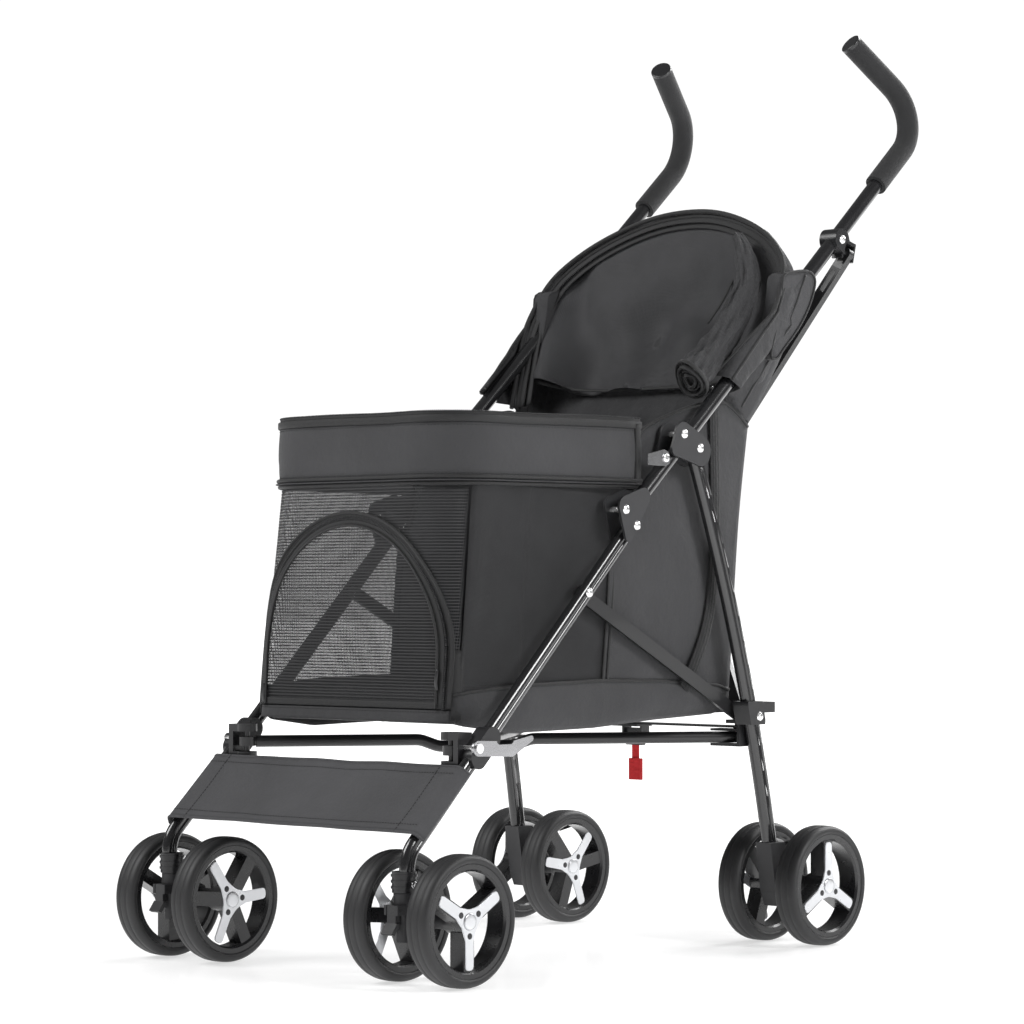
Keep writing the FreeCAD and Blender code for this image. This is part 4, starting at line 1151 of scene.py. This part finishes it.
class STROLLER_OT_hood(bpy.types.Operator):
    """The leaning hood, its piped rim, net lining and the net canopy gathered along its left edge"""
    bl_idname = "stroller.hood"
    bl_label = "Hood"

    def execute(self, context):
        sizes = context.scene.stroller_sizes
        self.shell()
        self.rim(sizes)
        self.lining()
        self.gathered_canopy()
        self.wings(sizes)
        return {"FINISHED"}

    def shell(self):
        steps = [(1.0, -2, 110), (1.005, 6, 110), (1.012, 16, 110), (1.01, 27, 110), (0.995, 37, 100),
                 (0.965, 43.5, 80),
                 (0.915, 47, 50), (0.83, 49, 25), (0.70, 50, 5), (0.55, 50.5, -4), (0.40, 51, -6),
                 (0.26, 51, -8),
                 (0.13, 51, -8), (0.02, 51, -8)]
        rows = [hood_line(scale, depth, about=about) for scale, depth, about in steps]
        shell = cloth_panel("hood_shell", rows, "hood_cloth", 1.6)
        foot = at(*HOOD_FOOT)
        for v in shell.data.vertices:
            depth, rise = (v.co - foot).dot(HOOD_BACK) / MM, (v.co - foot).dot(HOOD_UP) / MM
            if depth > 0:
                high = smooth_step((rise - 90) / 90) * smooth_step((abs(v.co.x) / MM - 80) / 60)
                v.co -= HOOD_BACK * (depth * 0.42 * high * MM)
        wrinkled(shell, 4.5, 38, 2.0)
        for v in shell.data.vertices:
            p = v.co
            depth = (p - foot).dot(HOOD_BACK) / MM
            if depth > 52.5:
                v.co -= HOOD_BACK * ((depth - 52.5) * MM)
        on_cloth(shell)
        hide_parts("hood", "hood_bow")
        declare_sheet((600, 420))

    def rim(self, sizes):
        runs = [hood_line(1.006, -3.0), hood_line(0.985, 2.5)]
        pipes = swept("hood_piping", runs, round_profile(sizes.piping + 0.4), "binding_tape")
        on_cloth(pipes)
        tapes = swept("hood_zip_tapes", [hood_line(0.962, 3.0), hood_line(0.925, 7.0)],
                      strap_profile(10, 1.6),
                      "binding_tape", facing=always(*(HOOD_BACK * -1)))
        on_cloth(tapes)
        teeth = along_lines("hood_zip", [hood_line(0.946, 4.5)], "smooth_black_plastic", 2.2, 1.4, 4.0, 2.0)
        on_cloth(teeth)
        stitches = along_lines("hood_stitches", [hood_line(1.0125, 9.0)], "stitch_thread",
                               sizes.stitch_pitch, 2.8, 0.8, 0.8)
        on_cloth(stitches)

    def lining(self):
        """Net that hangs in soft folds in front of the hood's back."""
        rows = []
        for i in range(19):
            u = i / 18
            scale = 0.93 - 0.9 * u
            depth = 9 + 33 * smooth_step(u * 2.2)
            rows.append(hood_line(scale, depth, 4, about=110 - 105 * smooth_step(u * 3), least=44))
        net = cloth_panel("hood_lining", rows, "lining_net", 0.6, plan=lambda p: (p.x, p.z * 1.1))
        foot = at(*HOOD_FOOT)
        for v in net.data.vertices:
            x, s = v.co.x / MM, (v.co - foot).dot(HOOD_UP) / MM
            fan = math.sin((x * 0.75 + s * 0.3 + 9 * noise.noise(v.co * 12)) / 13) * 4.6
            fan += math.sin((x - s * 0.9) / 24 + 1.0) * 4.0 + 6.0 * noise.noise(v.co * 16)
            edge = smooth_step((230 - s) / 40) * smooth_step((170 - abs(x)) / 30)
            v.co += HOOD_BACK * (fan * edge * MM)
        on_cloth(net)
        declare_sheet((440, 330))
        line = [at(*p) for p in ((92, 324, 792), (90, 310, 765), (84, 294, 735), (74, 282, 712))]
        foot_line = [at(x, *(HOOD_FOOT + HOOD_UP * 45 + HOOD_BACK * (40 - 30 * (abs(x) / 160) ** 4)).yz)
                     for x in range(-160, 161, 8)]
        seam = swept("lining_seam", [flowing(line, 5), foot_line], strap_profile(4.0, 1.4), "binding_tape",
                     facing=always(*(HOOD_BACK * -1)))
        on_cloth(seam)

    def gathered_canopy(self):
        """The zip-off net canopy, rolled down the left edge and ending in a loose bundle."""
        centre = flowing([at(*p) for p in ((108, 298, 812), (130, 283, 788), (146, 268, 755), (154, 243, 724),
                                           (160, 210, 692), (164, 182, 668), (166, 160, 650),
                                           (167, 142, 637))], 8)
        radius = [(0, 8), (0.15, 14), (0.4, 17), (0.7, 18), (0.9, 21), (1, 23)]
        verts, faces, maps = [], [], []
        sides, count = 40, len(centre)
        up = Vector((1, 0, 0))
        for i, p in enumerate(centre):
            along = (centre[min(i + 1, count - 1)] - centre[max(i - 1, 0)]).normalized()
            side = along.cross(up).normalized()
            lift = side.cross(along)
            r = table_value(radius, i / (count - 1))
            for k in range(sides):
                a = 2 * math.pi * k / sides
                fold = 1 + 0.13 * math.sin(5 * a + i * 0.22) + 0.09 * math.sin(11 * a - i * 0.35)
                fold += 0.10 * noise.noise(Vector((math.cos(a) * 1.5, math.sin(a) * 1.5, i * 0.3)))
                verts.append(p + (side * math.cos(a) + lift * math.sin(a) * 0.72) * r * fold * MM)
                maps.append((i * 0.006, k * 0.0022))
        for i in range(count - 1):
            for k in range(sides):
                j = (k + 1) % sides
                faces.append((i * sides + k, i * sides + j, (i + 1) * sides + j, (i + 1) * sides + k))
        roll = finished("canopy_roll", verts, faces, "gathered_net", maps, normals=True)
        thick = roll.modifiers.new("thickness", "SOLIDIFY")
        thick.thickness, thick.offset = 1.4 * MM, -1.0
        end = centre[-1]
        along = (centre[-1] - centre[-4]).normalized()
        side = along.cross(up).normalized()
        lift = side.cross(along)
        loops = []
        for r, out, start in ((24.0, 1.0, 0.0), (18.5, 4.0, 0.6), (13.0, 1.5, 1.1), (8.0, 3.5, 1.9)):
            loops.append([end
                          + (side * math.cos(a) * r + lift * math.sin(a) * r * 0.78
                             + along * (out + 2 * math.sin(2 * a + start))) * MM
                          for a in (start + 2 * math.pi * k / 26 for k in range(26))])
        rings = swept("canopy_folds", loops, strap_profile(5.5, 2.4), "binding_tape", closed=True,
                      facing=lambda p: (p - end).normalized())
        inner = swept("canopy_core", [[end - along * 16 * MM, end - along * 6 * MM, end + along * 0.5 * MM]],
                      round_profile(6.5, 14, 0.8), "gathered_net")
        bundle = joined("canopy_bundle", [roll, rings, inner])
        on_cloth(bundle)
        made = []
        for number, (spot, radius_mm) in enumerate(((at(172, 172, 628), 3.2), (at(173, 158, 612), 2.6))):
            made.append(button(f"snap_{number}", spot, 1, radius_mm, 2.2, "zinc_steel"))
        snaps = joined("canopy_snaps", made)
        on_cloth(snaps)

    def wings(self, sizes):
        """Cloth tabs that wrap the handle tubes behind the hood, and the hood's lower side."""
        for side, way in SIDES:
            line = [(252, 668), (262, 700), (272, 740), (276, 760), (297, 766), (320, 768), (331, 763),
                    (333, 752), (322, 727),
                    (301, 700), (275, 676), (262, 664)]
            run = flowing([Vector((y, z, 0)) for y, z in line], 3, closed=True)
            made = []
            for offset in (10.6, -10.2):
                x = FRAME_X + offset
                middle = sum(run, Vector()) / len(run)
                rows = []
                for t in range(7):
                    u = t / 6
                    swell = (1 - (1 - u) ** 2) * 1.6
                    rows.append([at(way * (x + math.copysign(swell,
                                                             offset)
                                                             + noise.noise(Vector((p.x, p.y,
                                                                                   offset)) / 30) * 1.2 * u),
                                    *between(p, middle, u).xy) for p in run])
                made.append(cloth_panel(f"{side}_wing_{int(offset)}", rows, "cabin_cloth", 1.0, close=True))
            edge = [at(way * FRAME_X, p.x, p.y) for p in run]
            made.append(swept(f"{side}_wing_rim", [edge], strap_profile(22.5, 1.2), "cabin_cloth",
                              closed=True,
                              facing=from_wing_middle))
            trim = [at(way * (FRAME_X + 11.4), p.x, p.y) for p in run]
            made.append(swept(f"{side}_wing_binding", [trim], round_profile(1.6), "binding_tape",
                              closed=True))
            wing = joined(f"{side}_wing", made)
            on_frame(wing, side)
            self.cover(side, way)
            rows = []
            front = flowing([at(way * x, y, z) for x, y,
                             z in ((160, 203, 606), (166, 214, 625), (176, 236, 668), (184, 254, 700))], 4)
            rear = flowing([at(way * x, y, z) for x, y,
                            z in ((158, 247, 588), (166, 256, 606), (176, 270, 640), (184, 290, 682))], 4)
            for t in range(7):
                rows.append([between(a, b,
                                     t / 6) + Vector((way * 2 * math.sin(math.pi * t / 6) * MM, 0, 0))
                                     for a, b in zip(front, rear)])
            gusset = cloth_panel(f"{side}_hood_gusset", rows, "cabin_cloth", 1.2)
            on_cloth(gusset)
            declare_sheet((45, 105))

    def cover(self, side, way):
        """Cloth of the hood's side, drawn over the outside of the handle tube down to the folding bracket."""
        rows = []
        for i in range(31):
            rise = 4 + 176 * i / 30
            arch_x = table_value([(v, x) for x, v in HOOD_ARCH[:5]], rise)
            rim = HOOD_FOOT + HOOD_UP * rise
            tube_depth = ((rim.z - HANDLE_LOW_Z) / math.tan(HANDLE_SLOPE) + HANDLE_LOW_Y
                          - rim.y) / ACROSS_TUBE * math.sin(HANDLE_SLOPE)
            first, last = min(-3.0, tube_depth - 18), max(26.0, tube_depth + 16) if rise < 120 else 26.0
            row = []
            for k in range(19):
                p = rim + HOOD_BACK * between(first, last, k / 18)
                off = abs((p.y - HANDLE_LOW_Y) * math.sin(HANDLE_SLOPE)
                          - (p.z - HANDLE_LOW_Z) * math.cos(HANDLE_SLOPE))
                x = between(193.0, arch_x + 2.2, smooth_step((off - 10) / 12))
                row.append(at(way * (x + 1.3 * noise.noise(Vector((p.y / 20, p.z / 24, way)))), p.y, p.z))
            rows.append(row)
        panel = cloth_panel(f"{side}_hood_cover", rows, "hood_cloth", 1.4)
        on_frame(panel, side)
        declare_sheet((70, 190))
        lines = [[row[0] for row in rows], [row[3] + Vector((way * 1.0 * MM, 0, 0)) for row in rows],
                 [row[-1] for row in rows]]
        cords = swept(f"{side}_hood_cover_piping", lines, round_profile(2.0), "binding_tape")
        on_frame(cords, side)


class STROLLER_OT_leg_rest(bpy.types.Operator):
    """The cloth panel between the front legs, with hems and tabs"""
    bl_idname = "stroller.leg_rest"
    bl_label = "Leg rest"

    def execute(self, context):
        sizes = context.scene.stroller_sizes
        low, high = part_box("leg_rest")
        down = Vector((0, -0.728, -0.685))
        out = Vector((0, -0.685, 0.728))
        length = (low - high).dot(down)
        near = Vector((0, low.y, low.z)) - down * length + out * 3.0 * MM
        xs = [-193.5, -192.8, -191, -188, -184] + [-178 + 356 * k / 40 for k in range(41)] + [184, 188, 191,
                                                                                              192.8, 193.5]
        rows = []
        for i in range(19):
            u = i / 18
            row = []
            for x in xs:
                inside = max(0.0, 1 - (x / 186) ** 2)
                bow = -4.0 * inside * math.sin(math.pi * u) + noise.noise(Vector((x / 55, u * 2.2,
                                                                                  9))) * 1.6 * inside
                drop = max(0.0, abs(x) - 184) ** 2 * 0.13
                p = near + down * (length * u) + out * ((bow - drop) * MM)
                row.append(Vector((x * MM, p.y, p.z)))
            rows.append(row)
        panel = cloth_panel("leg_rest_panel", rows, "leg_rest_cloth", 1.6)
        on_cloth(panel)
        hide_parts("leg_rest")
        declare_sheet((400, 92))
        lines = [[p + out * 1.3 * MM for p in rows[i][4:-4]] for i in (2, 16)]
        for pick in (7, -8):
            lines.append([row[pick] + out * 1.3 * MM for row in rows])
        stitches = along_lines("leg_rest_stitches", lines, "stitch_thread", sizes.stitch_pitch, 2.8, 0.8, 0.8)
        on_cloth(stitches)
        hems = swept("leg_rest_hems", [rows[0], rows[-1]], round_profile(1.5), "leg_rest_cloth")
        on_cloth(hems)
        return {"FINISHED"}


class STROLLER_OT_hardware(bpy.types.Operator):
    """Bolt heads on both sides of the frame"""
    bl_idname = "stroller.hardware"
    bl_label = "Hardware"

    def execute(self, context):
        for side, way in SIDES:
            bolts = [(at(way * (177 + 13.6), -322, 104), 4.2, 2.4), (at(way * (194 + 11), 262, 84), 3.6, 2.0)]
            made = [button(f"bolt_{i}", spot, way, r, h, "zinc_steel") for i,
                    (spot, r, h) in enumerate(bolts)]
            on_frame(joined(f"{side}_frame_bolts", made), side)
        return {"FINISHED"}


class STROLLER_OT_stage(bpy.types.Operator):
    """Pale floor, soft studio lights and the camera"""
    bl_idname = "stroller.stage"
    bl_label = "Studio"

    def execute(self, context):
        scene = context.scene
        world = bpy.data.worlds.new("studio")
        scene.world = world
        scene.view_settings.view_transform = "Standard"
        world.use_nodes = True
        tree = world.node_tree
        sky = tree.nodes["Background"]
        seen = tree.nodes.new("ShaderNodeLightPath")
        share = tree.nodes.new("ShaderNodeMapRange")
        share.inputs["To Min"].default_value, share.inputs["To Max"].default_value = 0.16, 1.05
        tree.links.new(seen.outputs["Is Camera Ray"], share.inputs["Value"])
        tree.links.new(share.outputs["Result"], sky.inputs["Strength"])
        sky.inputs["Color"].default_value = (1, 1, 1, 1)
        bpy.ops.mesh.primitive_plane_add(size=60, location=(0, 0, -0.0005))
        floor = bpy.context.object
        floor.name = "studio_floor"
        finish = Finish("studio_floor", (0.9, 0.9, 0.9), 0.12)
        finish.rough(finish.noise(2, 2), 0.08, 0.16)
        finish.shader.inputs["Specular IOR Level"].default_value = 0.25
        finish.shader.inputs["Emission Color"].default_value = (1, 1, 1, 1)
        away = finish.node("ShaderNodeVectorMath", {0: finish.place()}, operation="LENGTH").outputs["Value"]
        glow = finish.node("ShaderNodeMapRange",
                           {"Value": away, "From Min": 0.9, "From Max": 4.0, "To Min": 0.56,
                                                  "To Max": 1.3})
        finish.tree.links.new(glow.outputs["Result"], finish.shader.inputs["Emission Strength"])
        floor.data.materials.append(finish.material)
        lamps = (("key", (-1.6, -2.6, 3.0), 2.0, 110), ("side", (3.4, 0.4, 2.2), 1.2, 95),
                 ("back", (0.2, 3.0, 2.4), 2.2, 130))
        for name, place, size, power in lamps:
            data = bpy.data.lights.new(name, "AREA")
            data.energy, data.size = power, size
            lamp = bpy.data.objects.new(name, data)
            scene.collection.objects.link(lamp)
            lamp.location = place
            lamp.rotation_euler = (Vector((0, 0, 0.45)) - Vector(place)).to_track_quat("-Z", "Y").to_euler()
        data = bpy.data.cameras.new("camera")
        data.lens, data.sensor_width, data.clip_end = scene.stroller_sizes.camera_lens, 36, 100
        camera = bpy.data.objects.new("camera", data)
        right, up, back = Vector((0.7311, 0.6823, 0)), Vector((0.0162, -0.0174, 0.9997)), Vector((0.6821,
                                                                                                  -0.7309,
                                                                                                  -0.0237))
        turned = Matrix((right, up, back)).transposed().to_4x4()
        camera.matrix_world = Matrix.Translation(at(2550.5, -2705.9, 399.9)) @ turned
        scene.collection.objects.link(camera)
        scene.camera = camera
        return {"FINISHED"}


ORDER = ("finishes", "wheels", "cabin", "front_door", "floor_mat", "front_band", "hood", "leg_rest",
         "hardware", "stage")


class STROLLER_PT_panel(bpy.types.Panel):
    """Lists the stroller's pieces in the sidebar"""
    bl_idname = "STROLLER_PT_panel"
    bl_label = "Pet Stroller"
    bl_space_type = "VIEW_3D"
    bl_region_type = "UI"
    bl_category = "Pet Stroller"

    def draw(self, context):
        scene = context.scene
        for group in (scene.stroller_colours, scene.stroller_sizes):
            for name in group.bl_rna.properties.keys():
                if name not in ("rna_type", "name"):
                    self.layout.prop(group, name)
        for name in ORDER:
            self.layout.operator("stroller." + name)


CLASSES = (STROLLER_PG_colours, STROLLER_PG_sizes, STROLLER_OT_finishes, STROLLER_OT_wheels,
           STROLLER_OT_cabin,
           STROLLER_OT_front_door, STROLLER_OT_floor_mat, STROLLER_OT_front_band, STROLLER_OT_hood,
           STROLLER_OT_leg_rest, STROLLER_OT_hardware, STROLLER_OT_stage, STROLLER_PT_panel)


def register():
    for made in CLASSES:
        bpy.utils.register_class(made)
    bpy.types.Scene.stroller_colours = bpy.props.PointerProperty(type=STROLLER_PG_colours)
    bpy.types.Scene.stroller_sizes = bpy.props.PointerProperty(type=STROLLER_PG_sizes)


def unregister():
    del bpy.types.Scene.stroller_colours
    del bpy.types.Scene.stroller_sizes
    for made in reversed(CLASSES):
        bpy.utils.unregister_class(made)


def main():
    register()
    for name in ORDER:
        getattr(bpy.ops.stroller, name)()


if __name__ == "__main__":
    main()
